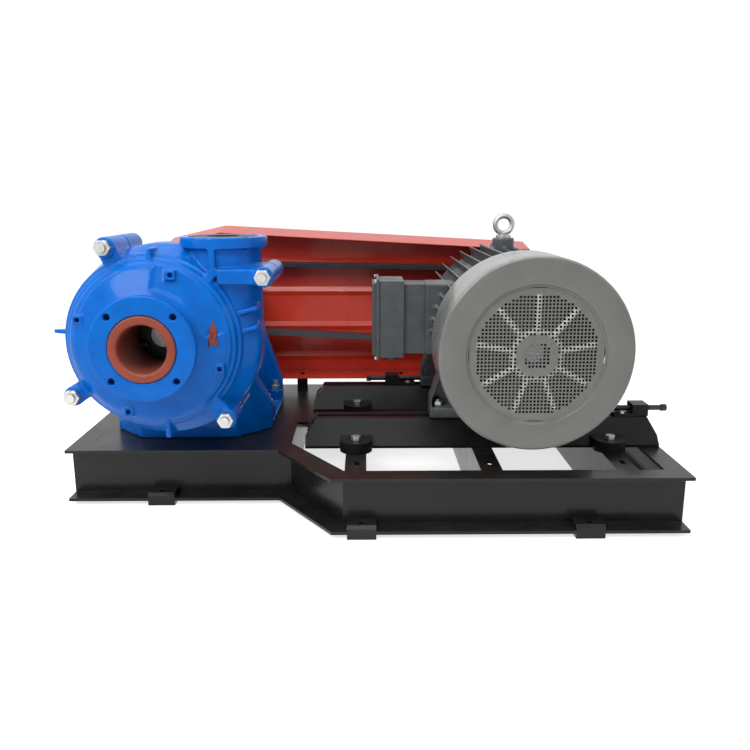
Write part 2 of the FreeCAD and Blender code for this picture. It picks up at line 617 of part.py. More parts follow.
def shaft_parts():
    y_start = behind(258)
    y_end = BELT_Y + SHAFT_END
    profile = [(0, y_start), (SHAFT_R, y_start), (SHAFT_R, -145), (46, -145), (46, 432),
               (SHAFT_R, 432), (SHAFT_R, y_end - 3), (SHAFT_R - 3, y_end), (0, y_end)]
    shaft = turned(profile, PUMP_X, PUMP_Z)
    keyway = box(PUMP_X - 11, PUMP_X + 11, BELT_Y - 50, BELT_Y + 50, PUMP_Z + SHAFT_R - 9,
                 PUMP_Z + SHAFT_R + 12)
    key = box(PUMP_X - 10.9, PUMP_X + 10.9, BELT_Y - 49, BELT_Y + 49, PUMP_Z + SHAFT_R - 8.9,
              PUMP_Z + SHAFT_R + 4.9)
    sleeve = tube(SLEEVE_R, SHAFT_R + FIT, at(PUMP_X, behind(308), PUMP_Z), -160 - behind(308))
    box_profile = [(149.5, behind(399)), (149.5, behind(445)), (110, behind(452)),
                   (110, behind(500)), (82, behind(500)), (82, behind(420)), (SLEEVE_R + 2,
                   behind(420)), (SLEEVE_R + 2, behind(399))]
    stuffing = turned(box_profile, PUMP_X, PUMP_Z)
    gland = turned([(81.5, behind(490)), (81.5, behind(506)), (104, behind(506)),
                    (104, behind(524)), (SLEEVE_R + 2, behind(524)),
                    (SLEEVE_R + 2, behind(490))], PUMP_X, PUMP_Z)
    packing = [tube(81.6, SLEEVE_R + 0.4, at(PUMP_X, behind(421 + 17 * k), PUMP_Z), 16)
               for k in range(4)]
    gland_bolts = []
    for side in (-1, 1):
        x = PUMP_X + side * 94
        gland = gland.cut(rod(7.3, at(x, behind(480), PUMP_Z), 60))
        stuffing = stuffing.cut(rod(7.3, at(x, behind(470), PUMP_Z), 60))
        stud = rod(7, at(x, behind(470.5), PUMP_Z), 72)
        nut = hexagon(22, at(x, behind(524.2), PUMP_Z), 12)
        gland_bolts.append(stud.fuse(nut))
    return {
        "pump_shaft": shaft.cut(keyway),
        "pump_key": key,
        "shaft_sleeve": sleeve,
        "stuffing_box": stuffing,
        "gland": gland,
        "gland_packing": group(packing),
        "gland_bolts": group(gland_bolts),
        "impeller": impeller(),
    }


# ---------------------------------------------------------------- belt drive
def groove_centres():
    return [BELT_Y + BELT_PITCH * (k - (BELT_COUNT - 1) / 2) for k in range(BELT_COUNT)]


def sheave(radius, bore, x, z):
    """Grooved pulley with a dished web and a hub."""
    half = BELT_PITCH * BELT_COUNT / 2 + 4
    y0 = BELT_Y - half
    y1 = BELT_Y + half
    lean = math.tan(math.radians(GROOVE_ANGLE))
    mouth = BELT_TOP / 2 + GAP
    depth = BELT_DEPTH + 4
    outline = [(bore, y0 + 6), (72, y0 + 6), (72, BELT_Y - 12), (radius - 46, BELT_Y - 14),
               (radius - 40, y0), (radius, y0)]
    for y in groove_centres():
        outline += [(radius, y - mouth), (radius - depth, y - mouth + depth * lean),
                    (radius - depth, y + mouth - depth * lean), (radius, y + mouth)]
    outline += [(radius, y1), (radius - 40, y1), (radius - 46, BELT_Y + 14), (72, BELT_Y + 12),
                (72, y1 - 6), (bore, y1 - 6)]
    wheel = turned(outline, x, z)
    return wheel.cut(box(x - 11, x + 11, y0 - 5, y1 + 5, z, z + SHAFT_R + 5.2))


def belt(y):
    """One endless belt with a trapezoid section around both pulleys."""
    c0 = at(PUMP_X, y, PUMP_Z)
    c1 = at(MOTOR_X, y, MOTOR_Z)
    r0 = PUMP_SHEAVE_R
    r1 = MOTOR_SHEAVE_R
    span = c1 - c0
    lean = math.asin((r1 - r0) / span.Length)
    along = math.atan2(span.z, span.x)

    def rim(centre, radius, angle):
        return centre + at(radius * math.cos(angle), 0, radius * math.sin(angle))
    up = along + math.pi / 2 + lean
    down = along - math.pi / 2 - lean
    path = Part.Wire([
        Part.makeLine(rim(c0, r0, up), rim(c1, r1, up)),
        Part.Arc(rim(c1, r1, up), rim(c1, r1, along), rim(c1, r1, down)).toShape(),
        Part.makeLine(rim(c1, r1, down), rim(c0, r0, down)),
        Part.Arc(rim(c0, r0, down), rim(c0, r0, along + math.pi), rim(c0, r0, up)).toShape()])
    half = BELT_TOP / 2
    low = half - BELT_DEPTH * math.tan(math.radians(GROOVE_ANGLE))
    start = rim(c0, r0, up)
    inward = (c0 - start).normalize()
    corners = [start + at(0, -half, 0), start + at(0, half, 0),
               start + inward * BELT_DEPTH + at(0, low, 0),
               start + inward * BELT_DEPTH + at(0, -low, 0)]
    section = Part.makePolygon(corners + corners[:1])
    return path.makePipeShell([section], True, False)


def guard_outline(drop):
    """Corners of the guard in the XZ plane; drop lowers its sloping top."""
    z0 = DECK_Z
    return [(-937, z0 + 71), (800, z0 + 71), (815, z0 + 560 - drop), (735, z0 + 707 - drop),
            (-691, z0 + 784 - drop), (-937, z0 + 727 - drop)]


def guard_parts():
    front = 530.0
    rear = 700.0
    sheet = 3.0
    drop = 26.0

    def shell(inset, y0, y1):
        centre_x, centre_z = -60.0, DECK_Z + 400.0
        wires = []
        for y, d in ((y0, drop), (y1, 0.0)):
            points = []
            for x, z in guard_outline(d):
                points.append(at(x - math.copysign(inset, x - centre_x), y,
                                 z - math.copysign(inset, z - centre_z)))
            wires.append(Part.makePolygon(points + points[:1]))
        return Part.makeLoft(wires, True, True)
    outer = shell(0, front, rear)
    inner = shell(sheet, front - 0.001, rear - sheet)
    guard = outer.cut(inner)
    ridges = []
    for z in (610, 470, 300, 150):
        ridges.append(long_prism([(rear - sheet, DECK_Z + z + 22), (rear - sheet - 9, DECK_Z + z),
                                  (rear - sheet, DECK_Z + z - 22)], -925, 795))
    guard = fuse([guard] + [r.common(shell(sheet + 1, front, rear)) for r in ridges])
    legs = []
    for x in (-860.0, -330.0, 150.0, 700.0):
        post = box(x - 25, x + 25, 588, 594, DECK_Z, DECK_Z + 71)
        foot = box(x - 25, x + 25, 594, 626, DECK_Z, DECK_Z + 6)
        top = box(x - 25, x + 25, 594, 640, DECK_Z + 65, DECK_Z + 71)
        legs.append(fuse([post, foot, top]))
        legs.append(hexagon(16, at(x, 612, DECK_Z + 6), 8, Z_AXIS))
        legs.append(hexagon(16, at(x, 618, DECK_Z + 71 + sheet), 8, Z_AXIS))
    return {"belt_guard": guard, "guard_brackets": group(legs)}


def drive_parts():
    parts = {
        "pump_pulley": sheave(PUMP_SHEAVE_R, SHAFT_R + FIT, PUMP_X, PUMP_Z),
        "motor_pulley": sheave(MOTOR_SHEAVE_R, MOTOR_SHAFT_R + FIT, MOTOR_X, MOTOR_Z),
        "v_belts": group([belt(y) for y in groove_centres()]),
    }
    parts.update(guard_parts())
    return parts


# ---------------------------------------------------------------- motor
def radial_box(r0, r1, thick, y0, y1, angle):
    fin = box(r0, r1, y0, y1, -thick / 2, thick / 2)
    fin.rotate(at(0, 0, 0), Y_AXIS, -angle)
    fin.translate(at(MOTOR_X, 0, MOTOR_Z))
    return fin


def motor_fins(y0, y1):
    """Cast cooling fins all round but under the motor; those beside the terminal pad stop at it."""
    fins = []
    for angle in range(0, 360, FIN_STEP):
        if 210 < angle < 330:
            continue
        spans = [(y0 + 22, y1 - 22)]
        if 155 < angle < 205:
            spans = [(y0 + 22, PAD_Y[0] - 6), (PAD_Y[1] + 6, y1 - 22)]
        for start, end in spans:
            fins.append(radial_box(FRAME_R - 4, FIN_R, FIN_THICKNESS, start, end, angle))
    return fins


def motor_foot(side, y, inward):
    """One foot: base, outer web and a cross wall; the bolt sits in the open pocket between."""
    x_in = MOTOR_X + side * 150
    x_out = MOTOR_X + side * FOOT_OUTER
    z0 = MOTOR_Z - SHAFT_HEIGHT
    z1 = z0 + 38
    base = box(min(x_in, x_out), max(x_in, x_out), y - 55, y + 55, z0, z1)
    knee = (MOTOR_X + side * 250, MOTOR_Z - 40)
    bend = z1 + 36
    web = side_prism([(x_out, z1 - 2), (x_out - side * 9, z1 - 2), (x_out - side * 9, bend),
                      (knee[0] - side * 12, knee[1]), knee, (x_out, bend)], y - 50, y + 50)
    wall_y = y + inward * 40
    wall = side_prism([(x_out - side * 8, z1 - 2), (x_in, z1 - 2), (x_in, z0 + 120),
                       (MOTOR_X + side * 215, MOTOR_Z - 110), knee], wall_y - 9, wall_y + 9)
    return [base, web, wall]


def lifting_lug():
    """Cast block at the front of the frame with a slot for a bar."""
    block = radial_box(FRAME_R - 4, FIN_R + 4, 52, FRAME_FRONT_Y + 20, FRAME_FRONT_Y + 66,
                       LIFT_LUG_ANGLE)
    slot = radial_box(FIN_R - 12, FIN_R + 30, 34, FRAME_FRONT_Y + 39, FRAME_FRONT_Y + 48,
                      LIFT_LUG_ANGLE)
    return block, slot


def motor_frame():
    y0 = FRAME_FRONT_Y
    y1 = FRAME_REAR_Y
    pieces = [rod(FRAME_R, at(MOTOR_X, y0, MOTOR_Z), y1 - y0)] + motor_fins(y0, y1)
    for side in (-1, 1):
        for y, inward in zip(RAIL_Y, (1, -1)):
            pieces += motor_foot(side, y, inward)
    pieces.append(box(MOTOR_X - 330, MOTOR_X - 200, PAD_Y[0], PAD_Y[1], MOTOR_Z - 92,
                      MOTOR_Z + 182))
    pieces.append(rod(44, at(MOTOR_X, EYE_Y, MOTOR_Z + FRAME_R - 12),
                      EYE_Z - 52 - MOTOR_Z - FRAME_R + 12, Z_AXIS))
    lug, slot = lifting_lug()
    frame = fuse(pieces + [lug])
    tools = [slot, rod(FRAME_R - 22, at(MOTOR_X, y0 - 1, MOTOR_Z), y1 - y0 + 2),
             box(MOTOR_X - 340, MOTOR_X - 230, -82, 36, MOTOR_Z - 60, MOTOR_Z + 130),
             rod(18.4, at(MOTOR_X, EYE_Y, EYE_Z - 95), 60, Z_AXIS)]
    for side in (-1, 1):
        for y in RAIL_Y:
            tools.append(rod(14, at(MOTOR_X + side * FOOT_BOLT_X, y, 0), DECK_Z + 200, Z_AXIS))
    for tool in tools:
        frame = frame.cut(tool)
    return frame


def motor_parts():
    x = MOTOR_X
    z = MOTOR_Z
    y0 = FRAME_FRONT_Y
    y1 = FRAME_REAR_Y
    bore = FRAME_R - 22
    stator = tube(bore - GAP, 160, at(x, -230, z), 460)
    rotor = tube(158.5, 52, at(x, -230, z), 460)
    shield_front = turned([(bore - GAP, y0 + 12), (bore - GAP, y0), (SHIELD_R, y0),
                           (SHIELD_R, y0 - 14), (250, y0 - 20), (120, y0 - 34), (50, y0 - 34),
                           (50, y0 - 28), (84, y0 - 28), (84, y0 + 34),
                           (104, y0 + 34), (104, y0 - 6), (bore - 20, y0 + 12)], x, z)
    shield_rear = turned([(bore - GAP, y1 - 12), (bore - GAP, y1), (FRAME_R, y1),
                          (FRAME_R, y1 + 18), (130, y1 + 52),
                          (52, y1 + 52), (52, y1 + 44), (94, y1 + 44), (94, y1 - 30),
                          (116, y1 - 30), (116, y1 + 14), (bore - 20, y1 - 12)], x, z)
    races = [tube(83.6, 72, at(x, y0 - 26, z), 44), tube(93.6, 80, at(x, y1 - 20, z), 50)]
    cones = [tube(60, 50.02, at(x, y0 - 26, z), 44), tube(66, 52.02, at(x, y1 - 20, z), 50)]
    balls = []
    for y, ring_r, ball_r in ((y0 - 4, 66, 5.8), (y1 + 5, 73, 6.8)):
        for k in range(9):
            dx, dz = polar(ring_r, 40 * k)
            balls.append(Part.makeSphere(ball_r, at(x + dx, y, z + dz)))
    y_end = BELT_Y + SHAFT_END
    shaft = turned([(0, y0 - 190), (34, y0 - 190), (34, y0 - 60), (50, y0 - 60), (50, y0 + 90),
                    (52, y0 + 90), (52, y1 + 36), (50, y1 + 36), (50, y1 + 86),
                    (MOTOR_SHAFT_R, y1 + 90), (MOTOR_SHAFT_R, y_end), (0, y_end)], x, z)
    shaft = shaft.cut(box(x - 11, x + 11, BELT_Y - 50, y_end + 5, z + MOTOR_SHAFT_R - 9, z + 60))
    key = box(x - 10.9, x + 10.9, BELT_Y - 49, BELT_Y + 49, z + MOTOR_SHAFT_R - 8.9,
              z + MOTOR_SHAFT_R + 4.9)
    hub = tube(62, 34.05, at(x, y0 - 165, z), 90)
    disc = tube(240, 60, at(x, y0 - 80, z), 6)
    blades = []
    for k in range(9):
        blade = box(58, 250, y0 - 190, y0 - 78, -3, 3)
        blade.rotate(at(0, 0, 0), Y_AXIS, 40 * k)
        blade.translate(at(x, 0, z))
        blades.append(blade)
    fan = fuse([hub, disc] + blades)
    face = COWL_FACE_Y
    rear = COWL_REAR_Y
    cowl = turned([(COWL_R, rear), (COWL_R, face + 14), (COWL_R - 4, face + 4),
                   (COWL_R - 12, face), (236, face), (226, face + 8), (204, face + 10),
                   (0, face + 10), (0, face + 13), (206, face + 13), (228, face + 11),
                   (238, face + 3), (COWL_R - 12, face + 3), (COWL_R - 3, face + 12),
                   (COWL_R - 3, rear)], x, z)
    terminal = terminal_parts()
    ring = Part.makeTorus(34, 10, at(x, EYE_Y, EYE_Z), Y_AXIS)
    stem = rod(18, at(x, EYE_Y, EYE_Z - 92), 56, Z_AXIS)
    collar = rod(30, at(x, EYE_Y, EYE_Z - 51.8), 10, Z_AXIS)
    eye = fuse([ring, stem, collar])
    foot_bolts = []
    for side in (-1, 1):
        for y in RAIL_Y:
            bx = x + side * FOOT_BOLT_X
            top = DECK_Z + RAIL_HEIGHT + 38
            shank = rod(11.8, at(bx, y, DECK_Z + RAIL_HEIGHT - 36), 36 + 38 + 26, Z_AXIS)
            nut = hexagon(36, at(bx, y, top), 20, Z_AXIS)
            head = box(bx - 20, bx + 20, y - 20, y + 20, DECK_Z + RAIL_HEIGHT - 38,
                       DECK_Z + RAIL_HEIGHT - 22)
            foot_bolts.append(fuse([shank, nut, head]))
    parts = {
        "motor_frame": motor_frame(),
        "stator_core": stator,
        "rotor_core": rotor,
        "motor_shaft": shaft,
        "motor_key": key,
        "fan_end_shield": shield_front,
        "drive_end_shield": shield_rear,
        "motor_outer_races": group(races),
        "motor_inner_races": group(cones + balls),
        "cooling_fan": fan,
        "fan_cowl": cowl,
        "lifting_eye": eye,
        "motor_foot_bolts": group(foot_bolts),
    }
    parts.update(terminal)
    return parts


def terminal_parts():
    """Side terminal box with a bolted lid and a cable gland underneath."""
    x_face = MOTOR_X - 535.0
    x_body = x_face + 26
    x_step = x_body + 95
    x_pad = MOTOR_X - 330
    z0 = DECK_Z + 307
    z1 = DECK_Z + 604
    y0 = -118.0
    y1 = 72.0
    body = box(x_body, x_step, y0, y1, z0, z1)
    neck = box(x_step - 1, x_pad, y0 + 20, y1 - 20, z0 + 14, z1 - 14)
    shell = fuse([body, neck])
    room = fuse([box(x_body - 1, x_step - 8, y0 + 8, y1 - 8, z0 + 8, z1 - 8),
                 box(x_step - 10, x_pad + 1, y0 + 36, y1 - 36, z0 + 60, z1 - 60)])
    shell = shell.cut(room)
    z_gland = z0
    gland_x = x_body + 50
    shell = shell.cut(rod(20.4, at(gland_x, (y0 + y1) / 2, z_gland - 5), 30, Z_AXIS))
    lid_plate = box(x_body - 10, x_body, y0 - 8, y1 + 8, z0 - 8, z1 + 8)
    lid_dome = box(x_face, x_body - 9, y0 + 10, y1 - 10, z0 + 10, z1 - 10)
    lid = fuse([lid_plate, lid_dome])
    lid = lid.cut(box(x_face + 5, x_body + 1, y0 + 16, y1 - 16, z0 + 16, z1 - 16))
    screws = []
    for y in (y0, y1):
        for z in (z0, z1):
            screws.append(hexagon(12, at(x_body - 10, y, z), 7, at(-1, 0, 0)))
    gland = fuse([rod(20, at(gland_x, (y0 + y1) / 2, z0 - 24), 36, Z_AXIS),
                  hexagon(52, at(gland_x, (y0 + y1) / 2, z0 - 0.2), 22, at(0, 0, -1))])
    gland = gland.cut(rod(13, at(gland_x, (y0 + y1) / 2, z0 - 40), 70, Z_AXIS))
    return {"terminal_box": shell, "terminal_lid": lid, "terminal_screws": group(screws),
            "cable_gland": gland}


# ---------------------------------------------------------------- slide rails
def rail(y):
    z = DECK_Z
    h = RAIL_HEIGHT
    half = RAIL_HALF
    outline = [(-half, 0), (-half, 10), (-42, h), (-13, h), (-13, h - 17), (-25, h - 17),
               (-25, h - 41), (25, h - 41), (25, h - 17), (13, h - 17), (13, h), (42, h),
               (half, 10), (half, 0), (half - 16, 0), (half - 16, 4), (38, h - 20),
               (38, h - 53), (-38, h - 53), (-38, h - 20), (4 - half + 12, 4), (16 - half, 0)]
    body = long_prism([(y + dy, z + dz) for dy, dz in outline], RAIL_LEFT, RAIL_RIGHT)
    for x, slant in ((RAIL_LEFT, 40), (RAIL_RIGHT, -24)):
        out = math.copysign(1, slant)
        wedge = [(x - out, z + 40), (x, z + 40), (x + slant, z + h + 1), (x - out, z + h + 1)]
        body = body.cut(side_prism(wedge, y - 200, y + 200))
    pieces = [body]
    for x in (MEMBER_X[0], MEMBER_X[2]):
        for side in (-1, 1):
            yc = y + side * 139
            lug = rod(60, at(x, yc, z), 42, Z_AXIS)
            foot = box(x - 60, x + 60, min(yc, y + side * 84), max(yc, y + side * 84), z, z + 42)
            pieces.append(lug.fuse(foot))
    joined = fuse(pieces)
    for x in (MEMBER_X[0], MEMBER_X[2]):
        for side in (-1, 1):
            joined = joined.cut(rod(RAIL_BOLT_R + 1, at(x, y + side * RAIL_LUG_OUT, z - 5), 60,
                                    Z_AXIS))
    return joined


def adjusting_set(y, x_block, way, x_tip, x_end):
    """Block bolted on a rail, its two bolts and the screw that pushes the motor foot along X."""
    top = DECK_Z + RAIL_HEIGHT
    plate_end = x_block - way * 72
    plate = box(min(plate_end, x_block), max(plate_end, x_block), y - 40, y + 40, top + 0.2,
                top + 12)
    upright_end = x_block + way * 60
    upright = box(min(x_block, upright_end), max(x_block, upright_end), y - 34, y + 34,
                  top + 0.2, top + 46)
    block = fuse([plate, upright])
    zs = top + 26
    block = block.cut(rod(SCREW_R + FIT, at(min(x_block, upright_end) - 5, y, zs), 90, X_AXIS))
    bolts = []
    for side in (-1, 1):
        place = at(x_block - way * 40, y + side * 28, top + 0.2)
        block = block.cut(rod(6.5, place - Z_AXIS, 20, Z_AXIS))
        bolts.append(fuse([rod(6, place - Z_AXIS * 12, 24, Z_AXIS),
                           hexagon(19, place + Z_AXIS * 11.8, 8, Z_AXIS)]))
    low, high = sorted((x_tip, x_end))
    head_x = x_end - 20 if way > 0 else x_end
    screw = fuse([rod(SCREW_R, at(low, y, zs), high - low, X_AXIS),
                  hexagon(24, at(head_x, y, zs), 20, X_AXIS)])
    return block, bolts, screw


def rail_parts():
    bolts = []
    for y in RAIL_Y:
        for x in (MEMBER_X[0], MEMBER_X[2]):
            for side in (-1, 1):
                place = at(x, y + side * RAIL_LUG_OUT, DECK_Z + 42)
                bolts.append(fuse([rod(RAIL_BOLT_R, place - Z_AXIS * 72, 80, Z_AXIS),
                                   hexagon(32, place, 16, Z_AXIS)]))
    front_rail = rail(RAIL_Y[0])
    rear_rail = rail(RAIL_Y[1])
    front_block, front_bolts, front_screw = adjusting_set(
        RAIL_Y[0], 1000.0, 1, MOTOR_X + FOOT_OUTER + GAP, 1140.0)
    rear_block, rear_bolts, rear_screw = adjusting_set(
        RAIL_Y[1], 125.0, -1, MOTOR_X - FOOT_OUTER - GAP, -20.0)
    for bolt in front_bolts:
        front_rail = front_rail.cut(bolt)
    for bolt in rear_bolts:
        rear_rail = rear_rail.cut(bolt)
    return {
        "front_slide_rail": front_rail,
        "rear_slide_rail": rear_rail,
        "rail_bolts": group(bolts + front_bolts + rear_bolts),
        "adjusting_blocks": group([front_block, rear_block]),
        "front_adjusting_screw": front_screw,
        "rear_adjusting_screw": rear_screw,
    }


def hold_down_bolts():
    z = DECK_Z + 77
    return group([fuse([rod(11, at(x, y, DECK_Z - 8), 77 + 8 + 42, Z_AXIS),
                        hexagon(36, at(x, y, z), 20, Z_AXIS)]) for x, y in hold_down_places()])


def main():
    os.makedirs("parts", exist_ok=True)
    nodes = {}
    for maker in (skid_parts, casing_parts, liner_parts, shaft_parts, bearing_parts, drive_parts,
                  motor_parts, rail_parts):
        nodes.update(maker())
    nodes["pump_base"] = pump_base()
    nodes["hold_down_bolts"] = hold_down_bolts()
    for name, shape in nodes.items():
        shape.exportStep("parts/%s.step" % name)


main()
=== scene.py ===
import json
import math
import bmesh
import bpy
from mathutils import Matrix, Vector
from mathutils.bvhtree import BVHTree
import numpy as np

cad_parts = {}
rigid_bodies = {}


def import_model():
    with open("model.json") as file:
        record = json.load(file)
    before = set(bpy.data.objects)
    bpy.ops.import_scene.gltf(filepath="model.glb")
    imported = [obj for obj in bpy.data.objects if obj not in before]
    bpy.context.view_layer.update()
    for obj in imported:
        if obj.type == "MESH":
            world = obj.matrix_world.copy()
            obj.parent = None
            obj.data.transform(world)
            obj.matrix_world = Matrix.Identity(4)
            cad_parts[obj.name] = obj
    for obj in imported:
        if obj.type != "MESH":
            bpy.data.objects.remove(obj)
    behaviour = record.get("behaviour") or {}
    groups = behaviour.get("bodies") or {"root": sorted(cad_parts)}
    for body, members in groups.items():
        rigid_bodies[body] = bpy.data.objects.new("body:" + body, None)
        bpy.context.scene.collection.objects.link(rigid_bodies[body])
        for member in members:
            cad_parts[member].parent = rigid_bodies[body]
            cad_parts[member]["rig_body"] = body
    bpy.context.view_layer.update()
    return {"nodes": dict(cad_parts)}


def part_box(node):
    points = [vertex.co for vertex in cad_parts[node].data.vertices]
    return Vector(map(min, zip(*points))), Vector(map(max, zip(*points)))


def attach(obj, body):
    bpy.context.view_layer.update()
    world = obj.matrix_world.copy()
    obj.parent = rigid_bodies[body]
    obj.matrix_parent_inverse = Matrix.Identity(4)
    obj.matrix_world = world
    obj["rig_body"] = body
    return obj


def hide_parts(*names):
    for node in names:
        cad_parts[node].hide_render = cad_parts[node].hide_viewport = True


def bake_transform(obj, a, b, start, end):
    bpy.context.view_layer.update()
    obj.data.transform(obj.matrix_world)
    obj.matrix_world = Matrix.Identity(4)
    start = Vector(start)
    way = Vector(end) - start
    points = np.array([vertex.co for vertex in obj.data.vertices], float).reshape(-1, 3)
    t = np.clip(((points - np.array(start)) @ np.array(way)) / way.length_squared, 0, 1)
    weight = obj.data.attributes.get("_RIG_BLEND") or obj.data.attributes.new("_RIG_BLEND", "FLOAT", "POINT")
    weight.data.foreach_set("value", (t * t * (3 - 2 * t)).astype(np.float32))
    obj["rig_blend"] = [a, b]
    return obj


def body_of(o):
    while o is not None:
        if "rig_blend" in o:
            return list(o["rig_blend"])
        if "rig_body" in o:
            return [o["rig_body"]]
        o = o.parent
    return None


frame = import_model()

# Looks of the slurry pump set. Metres, +Z up, +Y away from the suction flange.
NODES = frame["nodes"]


# ---------------------------------------------------------------- node trees
def add(tree, kind, feeds=None, **settings):
    """Adds one node. Feeds are values or sockets for its inputs, by name or number."""
    made = tree.nodes.new(kind)
    for name, value in settings.items():
        setattr(made, name, value)
    for key, value in (feeds or {}).items():
        if isinstance(value, bpy.types.NodeSocket):
            tree.links.new(value, made.inputs[key])
        else:
            made.inputs[key].default_value = value
    return made


def calc(tree, operation, *values, clamp=False):
    made = add(tree, "ShaderNodeMath", dict(enumerate(values)), operation=operation)
    made.use_clamp = clamp
    return made.outputs[0]


def blend_colour(tree, factor, first, second, kind="MIX"):
    made = add(tree, "ShaderNodeMix", {0: factor, 6: first, 7: second},
               data_type="RGBA", blend_type=kind)
    return made.outputs[2]


def ramp(tree, value, low, high):
    """Maps a value from low..high to 0..1, held at both ends."""
    return add(tree, "ShaderNodeMapRange", {0: value, 1: low, 2: high}).outputs[0]


def effect(name, inputs, outputs):
    """Starts a shader node group with float inputs; returns it with its two end nodes."""
    group = bpy.data.node_groups.new(name, "ShaderNodeTree")
    for label, value in inputs.items():
        socket = group.interface.new_socket(label, in_out="INPUT", socket_type="NodeSocketFloat")
        socket.default_value = value
    for label, kind in outputs.items():
        group.interface.new_socket(label, in_out="OUTPUT", socket_type="NodeSocket" + kind)
    return group, add(group, "NodeGroupInput").outputs, add(group, "NodeGroupOutput").inputs


def noise(tree, place, scale, detail=4.0, rough=0.55):
    return add(tree, "ShaderNodeTexNoise", {"Vector": place, "Scale": scale, "Detail": detail,
                                            "Roughness": rough}).outputs["Fac"]


def make_cast_skin():
    """Sand-cast or sprayed surface: fine grain, soft waves and a slow change of tone."""
    group, inputs, outputs = effect("cast skin", {"Grain Scale": 400.0, "Wave Scale": 12.0},
                                    {"Height": "Float", "Tone": "Float"})
    place = add(group, "ShaderNodeTexCoord").outputs["Object"]
    grain = noise(group, place, inputs["Grain Scale"], 3.0)
    wave = noise(group, place, inputs["Wave Scale"], 2.0)
    both = calc(group, "ADD", calc(group, "MULTIPLY", grain, 0.35), wave)
    group.links.new(both, outputs["Height"])
    group.links.new(noise(group, place, calc(group, "MULTIPLY", inputs["Wave Scale"], 0.6), 5.0),
                    outputs["Tone"])
    return group


def make_edge_wear_and_highlight():
    """Edges where paint is thin, and a normal that rounds them off. Where a finish gives a lighter chip
    colour, the mask lays a painted edge highlight.
    """
    group, inputs, outputs = effect("edge wear", {"Width": 0.002, "Chips": 60.0, "Amount": 0.5},
                                    {"Mask": "Float", "Normal": "Vector"})
    flat = add(group, "ShaderNodeNewGeometry").outputs["Normal"]
    rounded = add(group, "ShaderNodeBevel", {"Radius": inputs["Width"]}, samples=4).outputs[0]
    turn = add(group, "ShaderNodeVectorMath", {0: flat, 1: rounded}, operation="DOT_PRODUCT")
    edge = ramp(group, turn.outputs["Value"], 0.98, 0.80)
    place = add(group, "ShaderNodeTexCoord").outputs["Object"]
    chips = noise(group, place, inputs["Chips"], 6.0, 0.7)
    kept = ramp(group, calc(group, "ADD", chips, calc(group, "MULTIPLY", inputs["Amount"], 0.3)),
                0.58, 0.70)
    group.links.new(calc(group, "MULTIPLY", edge, kept), outputs["Mask"])
    group.links.new(rounded, outputs["Normal"])
    return group


def make_dust_and_top_light():
    """Dust on faces turned upwards, in patches; where its colour is a pale tone it is a painted highlight on
    the top faces.
    """
    group, inputs, outputs = effect("settled dust", {"Amount": 0.5, "Patch Scale": 9.0},
                                    {"Mask": "Float"})
    normal = add(group, "ShaderNodeNewGeometry").outputs["Normal"]
    up = add(group, "ShaderNodeSeparateXYZ", {0: normal}).outputs["Z"]
    place = add(group, "ShaderNodeTexCoord").outputs["Object"]
    patch = ramp(group, noise(group, place, inputs["Patch Scale"], 8.0, 0.65), 0.35, 0.75)
    level = calc(group, "MULTIPLY", ramp(group, up, 0.3, 1.0), patch)
    group.links.new(calc(group, "MULTIPLY", level, inputs["Amount"], clamp=True), outputs["Mask"])
    return group


def make_painted_corner_shade():
    """Painted shade: darkening in crevices, from ambient occlusion."""
    group, inputs, outputs = effect("corner grime", {"Reach": 0.02, "Amount": 0.6},
                                    {"Mask": "Float"})
    open_sky = add(group, "ShaderNodeAmbientOcclusion", {"Distance": inputs["Reach"]}, samples=4)
    closed = ramp(group, open_sky.outputs["AO"], 0.85, 0.25)
    group.links.new(calc(group, "MULTIPLY", closed, inputs["Amount"]), outputs["Mask"])
    return group


def make_brushed():
    """Fine lines left by a tool, running along one direction of the piece."""
    group, inputs, outputs = effect("tool marks", {"Across Scale": 900.0, "Along Scale": 30.0},
                                    {"Height": "Float", "Tone": "Float"})
    place = add(group, "ShaderNodeTexCoord").outputs["Object"]
    size = add(group, "ShaderNodeCombineXYZ", {0: inputs["Along Scale"], 1: inputs["Across Scale"],
                                               2: inputs["Along Scale"]}).outputs[0]
    spread = add(group, "ShaderNodeVectorMath", {0: place, 1: size}, operation="MULTIPLY").outputs[0]
    lines = noise(group, spread, 1.0, 2.0)
    group.links.new(lines, outputs["Height"])
    group.links.new(noise(group, place, 25.0, 3.0), outputs["Tone"])
    return group


EFFECTS = {"skin": make_cast_skin(), "wear": make_edge_wear_and_highlight(), "dust": make_dust_and_top_light(),
           "grime": make_painted_corner_shade(), "marks": make_brushed()}


def place_effect(tree, name, **values):
    group = add(tree, "ShaderNodeGroup", node_tree=EFFECTS[name])
    for label, value in values.items():
        group.inputs[label.replace("_", " ")].default_value = value
    return group.outputs


# ---------------------------------------------------------------- finishes
def start_material(name):
    material = bpy.data.materials.new(name)
    material.use_nodes = True
    return material, material.node_tree, material.node_tree.nodes["Principled BSDF"]


